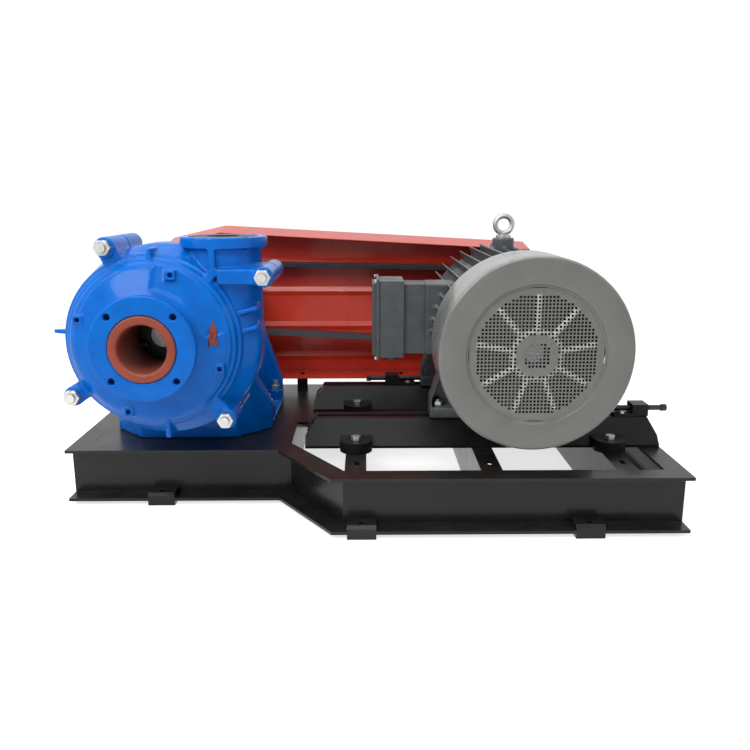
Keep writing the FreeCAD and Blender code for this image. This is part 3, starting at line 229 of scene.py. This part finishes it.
def painted(name, colour, low, chip_and_highlight_colour, rough, coat=0.0, grain=400.0, wave=12.0, depth=0.3, wear=0.4,
            dust=0.3, dust_and_top_light_colour=(0.09, 0.075, 0.06), grime=0.5, width=0.002, shine=0.2,
            rib_highlight=None):
    """Paint over metal: two tones, edge chips that show the metal or primer and on some finishes a lighter
    tone as a painted edge highlight, dust that on some finishes is a pale painted highlight on faces turned
    up, painted shade in corners, and a painted highlight where a named attribute marks it.
    """
    material, tree, shader = start_material(name)
    skin = place_effect(tree, "skin", Grain_Scale=grain, Wave_Scale=wave)
    worn_and_highlit = place_effect(tree, "wear", Width=width, Amount=wear)
    dust_and_top_light_mask = place_effect(tree, "dust", Amount=dust)["Mask"]
    painted_shade_mask = place_effect(tree, "grime", Amount=grime)["Mask"]
    shade = blend_colour(tree, ramp(tree, skin["Tone"], 0.3, 0.7), (*low, 1), (*colour, 1))
    # Painted shade: corners go towards a quarter of the low tone.
    shade = blend_colour(tree, painted_shade_mask, shade, (*[c * 0.25 for c in low], 1))
    # Edge chips: rust or primer on some finishes, and on the pump, motor and cowl a lighter tone of the
    # paint, which is a painted edge highlight.
    shade = blend_colour(tree, worn_and_highlit["Mask"], shade, (*chip_and_highlight_colour, 1))
    # Faces turned up take this colour: real dust on some finishes, and on the pump, motor and cowl a pale
    # tone that is a painted highlight on the top faces.
    shade = blend_colour(tree, dust_and_top_light_mask, shade, (*dust_and_top_light_colour, 1))
    # Painted highlight: a light grey laid on the ribs and ring slope that a named attribute marks.
    if rib_highlight:
        raised = add(tree, "ShaderNodeAttribute", attribute_name=rib_highlight).outputs["Fac"]
        shade = blend_colour(tree, calc(tree, "MULTIPLY", raised, 0.7), shade, (0.50, 0.51, 0.48, 1))
    gloss = calc(tree, "ADD", calc(tree, "MULTIPLY", skin["Tone"], 0.16), rough - 0.08)
    gloss = calc(tree, "ADD", gloss, calc(tree, "MULTIPLY", dust_and_top_light_mask, 0.5), clamp=True)
    bump = add(tree, "ShaderNodeBump", {"Strength": depth, "Distance": 0.0015,
                                        "Height": skin["Height"], "Normal": worn_and_highlit["Normal"]})
    tree.links.new(shade, shader.inputs["Base Color"])
    tree.links.new(gloss, shader.inputs["Roughness"])
    tree.links.new(bump.outputs[0], shader.inputs["Normal"])
    shader.inputs["Coat Weight"].default_value = coat
    shader.inputs["Coat Roughness"].default_value = 0.08
    shader.inputs["Specular IOR Level"].default_value = shine
    return material


def bare_metal(name, colour, dark, rough, marks=(900.0, 30.0), depth=0.15, grime=0.7,
               metallic=1.0, width=0.001):
    """Plated or machined metal with tool marks and painted shade in its corners."""
    material, tree, shader = start_material(name)
    lines = place_effect(tree, "marks", Across_Scale=marks[0], Along_Scale=marks[1])
    worn_and_highlit = place_effect(tree, "wear", Width=width, Amount=0.2)
    painted_shade_mask = place_effect(tree, "grime", Reach=0.008, Amount=grime)["Mask"]
    shade = blend_colour(tree, ramp(tree, lines["Tone"], 0.3, 0.7), (*dark, 1), (*colour, 1))
    # Painted shade: corners go towards a fifth of the dark tone.
    shade = blend_colour(tree, painted_shade_mask, shade, (*[c * 0.2 for c in dark], 1))
    gloss = calc(tree, "ADD", calc(tree, "MULTIPLY", lines["Tone"], 0.2), rough - 0.1, clamp=True)
    bump = add(tree, "ShaderNodeBump", {"Strength": depth, "Distance": 0.0004,
                                        "Height": lines["Height"], "Normal": worn_and_highlit["Normal"]})
    tree.links.new(shade, shader.inputs["Base Color"])
    tree.links.new(gloss, shader.inputs["Roughness"])
    tree.links.new(bump.outputs[0], shader.inputs["Normal"])
    shader.inputs["Metallic"].default_value = metallic
    return material


def moulded(name, colour, low, rough, grain=700.0, depth=0.2, dust=0.25, ply=0.0):
    """Rubber or plastic: dull, faintly mottled, with fine bloom; ply adds a cloth weave."""
    material, tree, shader = start_material(name)
    skin = place_effect(tree, "skin", Grain_Scale=grain, Wave_Scale=20.0)
    dust_and_top_light_mask = place_effect(tree, "dust", Amount=dust)["Mask"]
    worn_and_highlit = place_effect(tree, "wear", Width=0.0012, Amount=0.3)
    shade = blend_colour(tree, ramp(tree, skin["Tone"], 0.3, 0.7), (*low, 1), (*colour, 1))
    shade = blend_colour(tree, dust_and_top_light_mask, shade, (0.20, 0.17, 0.14, 1))
    height = skin["Height"]
    if ply:
        place = add(tree, "ShaderNodeTexCoord").outputs["Object"]
        weave = add(tree, "ShaderNodeTexWave", {"Vector": place, "Scale": ply, "Distortion": 1.5,
                                                "Detail": 1.0}, bands_direction="DIAGONAL")
        height = calc(tree, "ADD", height, calc(tree, "MULTIPLY", weave.outputs["Fac"], 0.6))
    bump = add(tree, "ShaderNodeBump", {"Strength": depth, "Distance": 0.001, "Height": height,
                                        "Normal": worn_and_highlit["Normal"]})
    gloss = calc(tree, "ADD", calc(tree, "MULTIPLY", skin["Tone"], 0.2), rough - 0.1, clamp=True)
    tree.links.new(shade, shader.inputs["Base Color"])
    tree.links.new(gloss, shader.inputs["Roughness"])
    tree.links.new(bump.outputs[0], shader.inputs["Normal"])
    shader.inputs["Specular IOR Level"].default_value = 0.25
    return material


RUST = (0.10, 0.045, 0.024)
FINISHES = {
    "skid_black": painted("skid enamel", (0.0150, 0.0140, 0.0135), (0.0080, 0.0078, 0.0078), RUST,
                          0.28, coat=0.12, wave=9.0, depth=0.35, wear=0.45, dust=0.22),
    "rail_black": painted("rail paint", (0.0110, 0.0115, 0.0125), (0.0060, 0.0064, 0.0070), RUST,
                          0.36, coat=0.03, grain=260.0, wave=20.0, depth=0.5, wear=0.5, dust=0.10,
                          shine=0.14),
    # Pump blue: the chip colour is a lighter blue, a painted edge highlight, and the lighter blue for faces
    # turned up is a painted highlight.
    "pump_blue": painted("pump enamel", (0.0, 0.134, 0.550), (0.0, 0.104, 0.450),
                         (0.02, 0.19, 0.60), 0.24, coat=0.16, grain=320.0, wave=26.0, depth=0.3,
                         wear=0.1, dust=0.05, dust_and_top_light_colour=(0.05, 0.20, 0.48), grime=0.45,
                         shine=0.07),
    "liner_red": moulded("liner rubber", (0.275, 0.058, 0.036), (0.20, 0.042, 0.026), 0.38),
    "liner_rubber": moulded("black liner rubber", (0.03, 0.028, 0.027), (0.02, 0.018, 0.017), 0.5),
    # The impeller is darker than its iron: painted shade for the inside of the pump bore.
    "impeller_iron": bare_metal("hard iron", (0.06, 0.058, 0.056), (0.03, 0.029, 0.028), 0.55,
                                depth=0.4, metallic=0.6),
    "zinc_fasteners": bare_metal("zinc plate", (0.62, 0.63, 0.61), (0.46, 0.46, 0.44), 0.34,
                                 metallic=0.85),
    "machined_steel": bare_metal("machined steel", (0.50, 0.50, 0.51), (0.36, 0.36, 0.37), 0.28),
    "packing": moulded("braided packing", (0.30, 0.27, 0.20), (0.20, 0.17, 0.12), 0.8, ply=500.0),
    "guard_red": painted("guard enamel", (0.66, 0.052, 0.026), (0.52, 0.036, 0.020),
                         (0.30, 0.06, 0.04), 0.28, coat=0.15, grain=250.0, wave=6.0, depth=0.18,
                         wear=0.25, dust=0.08, dust_and_top_light_colour=(0.30, 0.10, 0.07), shine=0.2),
    "belt_rubber": moulded("belt rubber", (0.040, 0.046, 0.058), (0.026, 0.030, 0.038), 0.5,
                           ply=420.0),
    "pulley_iron": bare_metal("pulley iron", (0.16, 0.16, 0.17), (0.10, 0.10, 0.11), 0.4),
    # Motor: the chip colour is a lighter grey, a painted edge highlight, and the pale bluish grey for faces
    # turned up is a painted highlight.
    "motor_grey": painted("motor enamel", (0.082, 0.092, 0.095), (0.058, 0.066, 0.070),
                          (0.15, 0.15, 0.15), 0.36, coat=0.1, grain=380.0, wave=30.0, depth=0.35,
                          wear=0.3, dust=0.7, dust_and_top_light_colour=(0.34, 0.36, 0.38)),
    # Cowl: the chip colour is a lighter grey, a painted edge highlight; the pale bluish grey for faces
    # turned up is a painted reflection of bright light from above; the ribs and ring slope get a painted
    # highlight.
    "cowl_grey": painted("cowl enamel", (0.148, 0.151, 0.138), (0.126, 0.130, 0.118),
                         (0.24, 0.24, 0.22), 0.26, coat=0.3, grain=520.0, wave=14.0, depth=0.15,
                         wear=0.15, dust=0.75, dust_and_top_light_colour=(0.50, 0.52, 0.54), shine=0.4,
                         rib_highlight="rib_highlight"),
    "fan_plastic": moulded("fan plastic", (0.02, 0.02, 0.02), (0.012, 0.012, 0.012), 0.5),
    "core_steel": bare_metal("laminations", (0.34, 0.34, 0.35), (0.22, 0.22, 0.23), 0.4,
                             marks=(4000.0, 20.0)),
    "eye_steel": bare_metal("forged steel", (0.46, 0.46, 0.45), (0.32, 0.32, 0.31), 0.40,
                            marks=(200.0, 200.0)),
    "screw_steel": bare_metal("oiled steel", (0.05, 0.05, 0.05), (0.025, 0.025, 0.025), 0.38),
}


def slot_of(node):
    return NODES[node].data.materials[0].name.split(".")[0]


SLOTS = {name: slot_of(name) for name in NODES}


# ---------------------------------------------------------------- camera, light, stage
def make_camera():
    camera = bpy.data.objects.new("camera", bpy.data.cameras.new("camera"))
    camera.data.sensor_width = 36.0
    camera.data.lens = 36.62
    camera.data.clip_start, camera.data.clip_end = 0.05, 60.0
    camera.location = (-0.022, -3.0185, 1.132)
    camera.rotation_euler = (math.radians(90 - 13.1), 0.0, math.radians(-0.7))
    bpy.context.scene.collection.objects.link(camera)
    bpy.context.scene.camera = camera


# Name, place, aim, size and power of each lamp.
LAMPS = (("overhead", (-0.6, -0.6, 3.6), (0, 0, 0.5), (4.5, 3.0), 70.0),
         ("front", (-2.2, -3.4, 2.9), (0, 0, 0.5), (1.8, 1.2), 62.0),
         ("right", (3.4, -1.8, 1.8), (0, 0, 0.5), (2.0, 2.0), 8.0),
         ("roof strip", (-0.9, -2.2, 3.0), (-0.6, -0.4, 0.7), (3.2, 0.12), 26.0),
         ("side strip", (-3.2, -1.6, 2.2), (-0.4, -0.4, 0.7), (0.14, 2.6), 18.0))


def make_lamp(name, place, aim, size, power):
    lamp = bpy.data.lights.new(name, "AREA")
    lamp.shape, lamp.size, lamp.size_y = "RECTANGLE", *size
    lamp.energy = power
    holder = bpy.data.objects.new(name, lamp)
    holder.location = place
    holder.rotation_euler = (Vector(aim) - Vector(place)).to_track_quat("-Z", "Y").to_euler()
    bpy.context.scene.collection.objects.link(holder)


def seen(tree):
    """One where the camera, a mirror or glass looks, and nought for light on the object."""
    path = add(tree, "ShaderNodeLightPath").outputs
    looked = calc(tree, "ADD", path["Is Camera Ray"], path["Is Glossy Ray"])
    return calc(tree, "ADD", looked, path["Is Transmission Ray"], clamp=True)


def make_world(level):
    world = bpy.data.worlds.new("studio")
    world.use_nodes = True
    tree = world.node_tree
    strength = ramp(tree, seen(tree), 0.0, 1.0)
    scaled = calc(tree, "ADD", calc(tree, "MULTIPLY", strength, 1.0 - level), level)
    background = tree.nodes["Background"]
    background.inputs["Color"].default_value = (1, 1, 1, 1)
    tree.links.new(scaled, background.inputs["Strength"])
    bpy.context.scene.world = world


def make_floor():
    side = 30.0
    mesh = bpy.data.meshes.new("floor")
    mesh.from_pydata([(-side, -side, 0), (side, -side, 0), (side, side, 0), (-side, side, 0)], [],
                     [(0, 1, 2, 3)])
    floor = bpy.data.objects.new("floor", mesh)
    bpy.context.scene.collection.objects.link(floor)
    material, tree, shader = start_material("pale floor")
    shader.inputs["Base Color"].default_value = (0.80, 0.80, 0.80, 1)
    shader.inputs["Roughness"].default_value = 0.9
    shader.inputs["Specular IOR Level"].default_value = 0.0
    shader.inputs["Emission Color"].default_value = (1, 1, 1, 1)
    tree.links.new(calc(tree, "MULTIPLY", seen(tree), 0.72), shader.inputs["Emission Strength"])
    mesh.materials.append(material)


# ---------------------------------------------------------------- mesh helpers
def mesh_of(shape, name):
    """Turns a bmesh into a mesh and frees it."""
    mesh = bpy.data.meshes.new(name)
    shape.to_mesh(mesh)
    shape.free()
    return mesh


def smooth_by_angle(mesh, degrees=32.0):
    mesh.polygons.foreach_set("use_smooth", [True] * len(mesh.polygons))
    mesh.set_sharp_from_angle(angle=math.radians(degrees))


def link_piece(name, mesh, nodes, slot=None, body=None, smooth=32.0):
    """Puts a finished mesh in the scene, on a body, in place of one or more CAD nodes."""
    nodes = [nodes] if isinstance(nodes, str) else nodes
    piece = bpy.data.objects.new(name, mesh)
    bpy.context.scene.collection.objects.link(piece)
    smooth_by_angle(mesh, smooth)
    slot = slot or SLOTS[nodes[0]]
    mesh.materials.clear()
    mesh.materials.append(FINISHES[slot])
    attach(piece, body or body_of(NODES[nodes[0]])[0])
    if nodes:
        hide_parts(*nodes)
    return piece


def add_detail(name, mesh, body, slot, smooth=32.0):
    """A small visible piece that stands on a CAD node and replaces nothing."""
    return link_piece(name, mesh, [], slot, body, smooth)


def baked(piece):
    """The piece's mesh with its modifiers applied; the helper object is removed."""
    graph = bpy.context.evaluated_depsgraph_get()
    mesh = bpy.data.meshes.new_from_object(piece.evaluated_get(graph), depsgraph=graph)
    bpy.data.objects.remove(piece)
    return mesh


def helper(mesh):
    made = bpy.data.objects.new("helper", mesh)
    bpy.context.scene.collection.objects.link(made)
    return made


def joined_copy(node):
    """A welded bmesh copy of a CAD node."""
    shape = bmesh.new()
    shape.from_mesh(NODES[node].data)
    bmesh.ops.remove_doubles(shape, verts=shape.verts, dist=0.00002)
    return shape


def cast_copy(node, voxel, kept):
    """A CAD casting with the rounded corners of a real one: remeshed evenly, then relaxed."""
    piece = helper(mesh_of(joined_copy(node), node))
    remesh = piece.modifiers.new("even", "REMESH")
    remesh.mode = "VOXEL"
    remesh.voxel_size = voxel
    relax = piece.modifiers.new("relax", "SMOOTH")
    relax.factor, relax.iterations = 0.5, 6
    thin = piece.modifiers.new("thin", "DECIMATE")
    thin.ratio = kept
    return baked(piece)


def lathe(profile, centre, steps=96):
    """Closed ring or disc: (radius, y) pairs turned about the Y axis through centre (x, z)."""
    shape = bmesh.new()
    rings = []
    for k in range(steps):
        turn = 2 * math.pi * k / steps
        rings.append([shape.verts.new((centre[0] + r * math.sin(turn), y,
                                       centre[1] + r * math.cos(turn))) for r, y in profile])
    for k in range(steps):
        here, there = rings[k], rings[(k + 1) % steps]
        for i in range(len(profile)):
            j = (i + 1) % len(profile)
            shape.faces.new((here[i], here[j], there[j], there[i]))
    bmesh.ops.remove_doubles(shape, verts=shape.verts, dist=0.00002)
    return shape


def arc(cx, cy, radius, start, end, steps=6):
    """Points on an arc, angles in degrees."""
    return [(cx + radius * math.cos(math.radians(start + (end - start) * k / steps)),
             cy + radius * math.sin(math.radians(start + (end - start) * k / steps)))
            for k in range(steps + 1)]


# ---------------------------------------------------------------- geometry node trees
def start_geometry(name, inputs):
    """Starts a geometry tree with named sizes; returns it with its input sockets and its end."""
    tree = bpy.data.node_groups.new(name, "GeometryNodeTree")
    tree.interface.new_socket("Geometry", in_out="INPUT", socket_type="NodeSocketGeometry")
    for label, value in inputs.items():
        kind = "NodeSocketInt" if isinstance(value, int) else "NodeSocketFloat"
        socket = tree.interface.new_socket(label, in_out="INPUT", socket_type=kind)
        socket.default_value = value
    tree.interface.new_socket("Geometry", in_out="OUTPUT", socket_type="NodeSocketGeometry")
    return tree, add(tree, "NodeGroupInput").outputs, add(tree, "NodeGroupOutput").inputs


def finish_geometry(tree, geometry, end, material):
    real = add(tree, "GeometryNodeRealizeInstances", {0: geometry}).outputs[0]
    painted_in = add(tree, "GeometryNodeSetMaterial", {0: real, "Material": material}).outputs[0]
    tree.links.new(painted_in, end[0])


def grow(tree, after, **sizes):
    """Runs a geometry tree, then the modifiers that after() adds, and keeps the plain mesh."""
    piece = helper(bpy.data.meshes.new("seed"))
    modifier = piece.modifiers.new("grow", "NODES")
    modifier.node_group = tree
    for item in tree.interface.items_tree:
        key = item.name.replace(" ", "_")
        if item.in_out == "INPUT" and key in sizes:
            modifier[item.identifier] = sizes[key]
    after(piece)
    return baked(piece)


# ---------------------------------------------------------------- fan cowl
def hypot(tree, first, second):
    return calc(tree, "SQRT", calc(tree, "ADD", calc(tree, "MULTIPLY", first, first),
                                   calc(tree, "MULTIPLY", second, second)))


GRILLE = {"Pitch": 0.012, "Hole": 0.62, "Cells": 36, "Plate Radius": 0.222, "Holes Radius": 0.2,
          "Ring Inner": 0.044, "Ring Outer": 0.072, "Rib Inner": 0.074, "Rib Outer": 0.205,
          "Rib Width": 0.014, "Rib Height": 0.009, "Rib Count": 9}
CELL_THIRD = 1 / 6
HUB_EDGE = (0.036, 0.046)
HUB_LEVEL = 0.6
RING_SLOPE = (0.092, 0.073)
JOIN = 0.0002
TRIM = 0.0004


def here_flat(tree):
    """The X and Y of each point of a flat sheet, and its distance from the middle."""
    position = add(tree, "GeometryNodeInputPosition").outputs[0]
    parts = add(tree, "ShaderNodeSeparateXYZ", {0: position}).outputs
    return parts["X"], parts["Y"], hypot(tree, parts["X"], parts["Y"])


def lattice_points(tree, inputs):
    """A square lattice of points that covers the round plate."""
    width = calc(tree, "MULTIPLY", inputs["Cells"], inputs["Pitch"])
    count = calc(tree, "ADD", inputs["Cells"], 1.0)
    cells = add(tree, "GeometryNodeMeshGrid", {"Size X": width, "Size Y": width,
                                               "Vertices X": count, "Vertices Y": count})
    _, _, far = here_flat(tree)
    reach = calc(tree, "ADD", inputs["Plate Radius"], calc(tree, "MULTIPLY", inputs["Pitch"], 0.7))
    outside = calc(tree, "GREATER_THAN", far, reach)
    return add(tree, "GeometryNodeDeleteGeometry",
               {0: cells.outputs["Mesh"], "Selection": outside}, domain="POINT").outputs[0]


def plate_cell(tree, inputs):
    """One cell of the plate in nine faces, plain and with the middle face punched out."""
    cell = add(tree, "GeometryNodeMeshGrid", {"Size X": inputs["Pitch"], "Size Y": inputs["Pitch"],
                                              "Vertices X": 4, "Vertices Y": 4}).outputs["Mesh"]
    x, y, far = here_flat(tree)
    near = calc(tree, "MULTIPLY", calc(tree, "MULTIPLY", inputs["Pitch"], CELL_THIRD), 2.0)
    wider = calc(tree, "SUBTRACT", calc(tree, "MULTIPLY", inputs["Hole"], 3.0), 1.0)
    moved = []
    for along in (x, y):
        inner = calc(tree, "LESS_THAN", calc(tree, "ABSOLUTE", along), near)
        factor = calc(tree, "ADD", calc(tree, "MULTIPLY", inner, wider), 1.0)
        moved.append(calc(tree, "MULTIPLY", along, factor))
    place = add(tree, "ShaderNodeCombineXYZ", {0: moved[0], 1: moved[1]}).outputs[0]
    plain = add(tree, "GeometryNodeSetPosition", {0: cell, "Position": place}).outputs[0]
    middle = calc(tree, "LESS_THAN", far, calc(tree, "MULTIPLY", inputs["Pitch"], 0.1))
    punched = add(tree, "GeometryNodeDeleteGeometry", {0: plain, "Selection": middle},
                  domain="FACE").outputs[0]
    return plain, punched


def perforated_sheet(tree, inputs):
    """The flat plate, holes in its field and in its middle, trimmed to a round edge."""
    points = lattice_points(tree, inputs)
    plain, punched = plate_cell(tree, inputs)
    _, _, far = here_flat(tree)
    in_field = calc(tree, "LESS_THAN", far, inputs["Holes Radius"])
    below = calc(tree, "LESS_THAN", far, inputs["Ring Inner"])
    above = calc(tree, "GREATER_THAN", far, inputs["Ring Outer"])
    with_hole = calc(tree, "MULTIPLY", in_field, calc(tree, "ADD", below, above))
    without = calc(tree, "SUBTRACT", 1.0, with_hole)
    joined = add(tree, "GeometryNodeJoinGeometry")
    for shape, chosen in ((punched, with_hole), (plain, without)):
        copies = add(tree, "GeometryNodeInstanceOnPoints",
                     {"Points": points, "Selection": chosen, "Instance": shape}).outputs[0]
        tree.links.new(copies, joined.inputs[0])
    real = add(tree, "GeometryNodeRealizeInstances", {0: joined.outputs[0]}).outputs[0]
    sheet = add(tree, "GeometryNodeMergeByDistance", {0: real, "Distance": JOIN}).outputs[0]
    x, y, far = here_flat(tree)
    held = calc(tree, "MINIMUM", calc(tree, "DIVIDE", inputs["Plate Radius"],
                                      calc(tree, "MAXIMUM", far, 0.001)), 1.0)
    round_edge = add(tree, "ShaderNodeCombineXYZ", {0: calc(tree, "MULTIPLY", x, held),
                                                    1: calc(tree, "MULTIPLY", y, held)})
    trimmed = add(tree, "GeometryNodeSetPosition", {0: sheet, "Position": round_edge.outputs[0]})
    return add(tree, "GeometryNodeMergeByDistance", {0: trimmed.outputs[0],
                                                     "Distance": TRIM}).outputs[0]


def rib_crests(tree, inputs):
    """One along each radial rib and nought between them, with soft flanks and ends."""
    x, y, far = here_flat(tree)
    turn = calc(tree, "ARCTAN2", x, y)
    step = calc(tree, "DIVIDE", 2 * math.pi, inputs["Rib Count"])
    nearest = calc(tree, "MULTIPLY", calc(tree, "ROUND", calc(tree, "DIVIDE", turn, step)), step)
    aside = calc(tree, "MULTIPLY", calc(tree, "ABSOLUTE", calc(tree, "SUBTRACT", turn, nearest)),
                 far)
    ridge = add(tree, "ShaderNodeMapRange",
                {0: aside, 1: inputs["Rib Width"],
                 2: calc(tree, "MULTIPLY", inputs["Rib Width"], 0.25)},
                interpolation_type="SMOOTHSTEP").outputs[0]
    start = ramp(tree, far, inputs["Ring Outer"], calc(tree, "ADD", inputs["Rib Inner"], 0.012))
    stop = ramp(tree, far, inputs["Rib Outer"], calc(tree, "SUBTRACT", inputs["Rib Outer"], 0.016))
    return calc(tree, "MULTIPLY", ridge, calc(tree, "MULTIPLY", start, stop))


def grille_tree():
    """A square lattice of punched holes in a pressed plate with raised radial ribs and a raised
    ring round the middle. It is made flat in X and Y, ribs towards +Z. An attribute marks
    the ribs and the ring's slope, where the cowl paint gets a painted highlight."""
    tree, inputs, end = start_geometry("pressed grille", GRILLE)
    sheet = perforated_sheet(tree, inputs)
    ribs = rib_crests(tree, inputs)
    _, _, far = here_flat(tree)
    hub = calc(tree, "MULTIPLY", ramp(tree, far, *HUB_EDGE), 1.0 - HUB_LEVEL)
    falling = ramp(tree, far, *RING_SLOPE)
    ring = calc(tree, "MULTIPLY", calc(tree, "ADD", hub, HUB_LEVEL), falling)
    slope = calc(tree, "MULTIPLY", falling, calc(tree, "SUBTRACT", 1.0, falling))
    # The ribs and the ring's slope, marked for a painted highlight on the cowl paint.
    rib_highlight_mask = calc(tree, "MAXIMUM", ribs, calc(tree, "MULTIPLY", slope, 3.6), clamp=True)
    marked = add(tree, "GeometryNodeStoreNamedAttribute",
                 {"Geometry": sheet, "Name": "rib_highlight", "Value": rib_highlight_mask}).outputs[0]
    lift = calc(tree, "MULTIPLY", calc(tree, "MAXIMUM", ribs, ring), inputs["Rib Height"])
    push = add(tree, "ShaderNodeCombineXYZ", {2: lift}).outputs[0]
    pressed = add(tree, "GeometryNodeSetPosition", {0: marked, "Offset": push}).outputs[0]
    finish_geometry(tree, pressed, end, FINISHES["cowl_grey"])
    return tree


COWL_SHEET = 0.003
COWL_RIM = 0.013
COWL_STEP = 0.006
STEP_SHARE = 0.71
HOLES_SHARE = 0.625
GRILLE_SHEET = 0.0016


def cowl_profile(radius, step_r, front, rear):
    """Radius and y round the cowl's sheet: side, rounded rim, flat face and the step inwards."""
    step = COWL_STEP
    outer = [(radius, rear)]
    outer += [(r, front + COWL_RIM - d) for r, d in arc(radius - COWL_RIM, 0.0, COWL_RIM, 0, 90)]
    outer += [(step_r + 0.006, front), (step_r + 0.002, front + 0.0015),
              (step_r, front + step), (step_r - 0.006, front + step + 0.001)]
    inner = []
    for r, y in outer:
        if y > front + COWL_RIM * 0.7:
            inset = COWL_SHEET
        else:
            inset = 0.0005 if r > step_r + 0.004 else 0.0002
        inner.append((r - inset, y if r >= radius - 0.0001 else y + COWL_SHEET))
    return outer + inner[::-1]


def fan_cowl():
    low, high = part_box("fan_cowl")
    x, z = (low.x + high.x) / 2, (low.z + high.z) / 2
    radius = (high.x - low.x) / 2
    step_r = radius * STEP_SHARE
    shape = lathe(cowl_profile(radius, step_r, low.y, high.y), (x, z), 144)
    grille = grow(grille_tree(), lambda piece: add_thickness(piece, GRILLE_SHEET),
                  Plate_Radius=step_r - 0.002, Holes_Radius=radius * HOLES_SHARE)
    grille.transform(Matrix.Translation((x, low.y + COWL_STEP + 0.0035, z)) @
                     Matrix.Rotation(math.radians(90), 4, "X"))
    shape.from_mesh(grille)
    link_piece("fan_cowl_pressing", mesh_of(shape, "fan_cowl"), "fan_cowl", smooth=28.0)


def add_thickness(piece, depth):
    solid = piece.modifiers.new("sheet", "SOLIDIFY")
    solid.thickness, solid.offset = depth, -1.0


# ---------------------------------------------------------------- castings
# How fine each casting is remeshed, in metres, and how much of that mesh is kept.
CASTINGS = {"cover_plate": (0.0038, 0.35), "frame_plate": (0.0042, 0.35),
            "pump_base": (0.0045, 0.35), "bearing_housing": (0.0045, 0.35),
            "throatbush": (0.0032, 0.35), "motor_frame": (0.0042, 0.22)}


def castings():
    for node, (voxel, kept) in CASTINGS.items():
        link_piece(node + "_casting", cast_copy(node, voxel, kept), node, smooth=50.0)


def stretching_belts():
    """The V-belts, whose motor end goes along when the motor slides on its rails."""
    ends = []
    for pulley in ("pump_pulley", "motor_pulley"):
        low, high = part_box(pulley)
        ends.append(tuple((low + high) / 2))
    mesh = mesh_of(joined_copy("v_belts"), "v_belts")
    belts = helper(mesh)
    belts.name = "v_belt_set"
    smooth_by_angle(mesh)
    mesh.materials.append(FINISHES["belt_rubber"])
    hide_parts("v_belts")
    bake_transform(belts, body_of(NODES["v_belts"])[0], body_of(NODES["motor_frame"])[0],
             start=ends[0], end=ends[1])


ARROW_PLACE = (0.205, 0.035)
ARROW_HALF = [(0.0, 0.042), (0.011, 0.014), (0.005, 0.012), (0.006, -0.010), (0.014, -0.042),
              (0.0, -0.030)]
ARROW_PROUD = 0.0022
ARROW_DEPTH = 0.004


def turning_arrow():
    """Raised arrow on the cover's sloping face that shows which way the shaft turns."""
    low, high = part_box("impeller")
    x = (low.x + high.x) / 2 + ARROW_PLACE[0]
    z = (low.z + high.z) / 2 + ARROW_PLACE[1]
    outline = ARROW_HALF + [(-dx, dz) for dx, dz in ARROW_HALF[-2:0:-1]]
    cover = joined_copy("cover_plate")
    ground = BVHTree.FromBMesh(cover)
    shape = bmesh.new()
    face = shape.faces.new([shape.verts.new((x + dx, -2.0, z + dz)) for dx, dz in outline])
    bmesh.ops.triangulate(shape, faces=[face])
    bmesh.ops.subdivide_edges(shape, edges=shape.edges, cuts=5, use_grid_fill=True)
    for vert in shape.verts:
        hit = ground.ray_cast(vert.co, Vector((0, 1, 0)))[0]
        vert.co.y = hit.y - ARROW_PROUD
    cover.free()
    bmesh.ops.recalc_face_normals(shape, faces=shape.faces)
    if sum(face.normal.y for face in shape.faces) > 0:
        bmesh.ops.reverse_faces(shape, faces=shape.faces)
    piece = helper(mesh_of(shape, "turning_arrow"))
    add_thickness(piece, ARROW_DEPTH)
    add_detail("turning_arrow", baked(piece), body_of(NODES["cover_plate"])[0], "liner_red")


for name, node in NODES.items():
    node.data.materials.clear()
    node.data.materials.append(FINISHES[SLOTS[name]])

bpy.context.scene.view_settings.view_transform = "Standard"
make_camera()
make_world(0.42)
make_floor()
fan_cowl()
castings()
turning_arrow()
stretching_belts()
for lamp in LAMPS:
    make_lamp(*lamp)
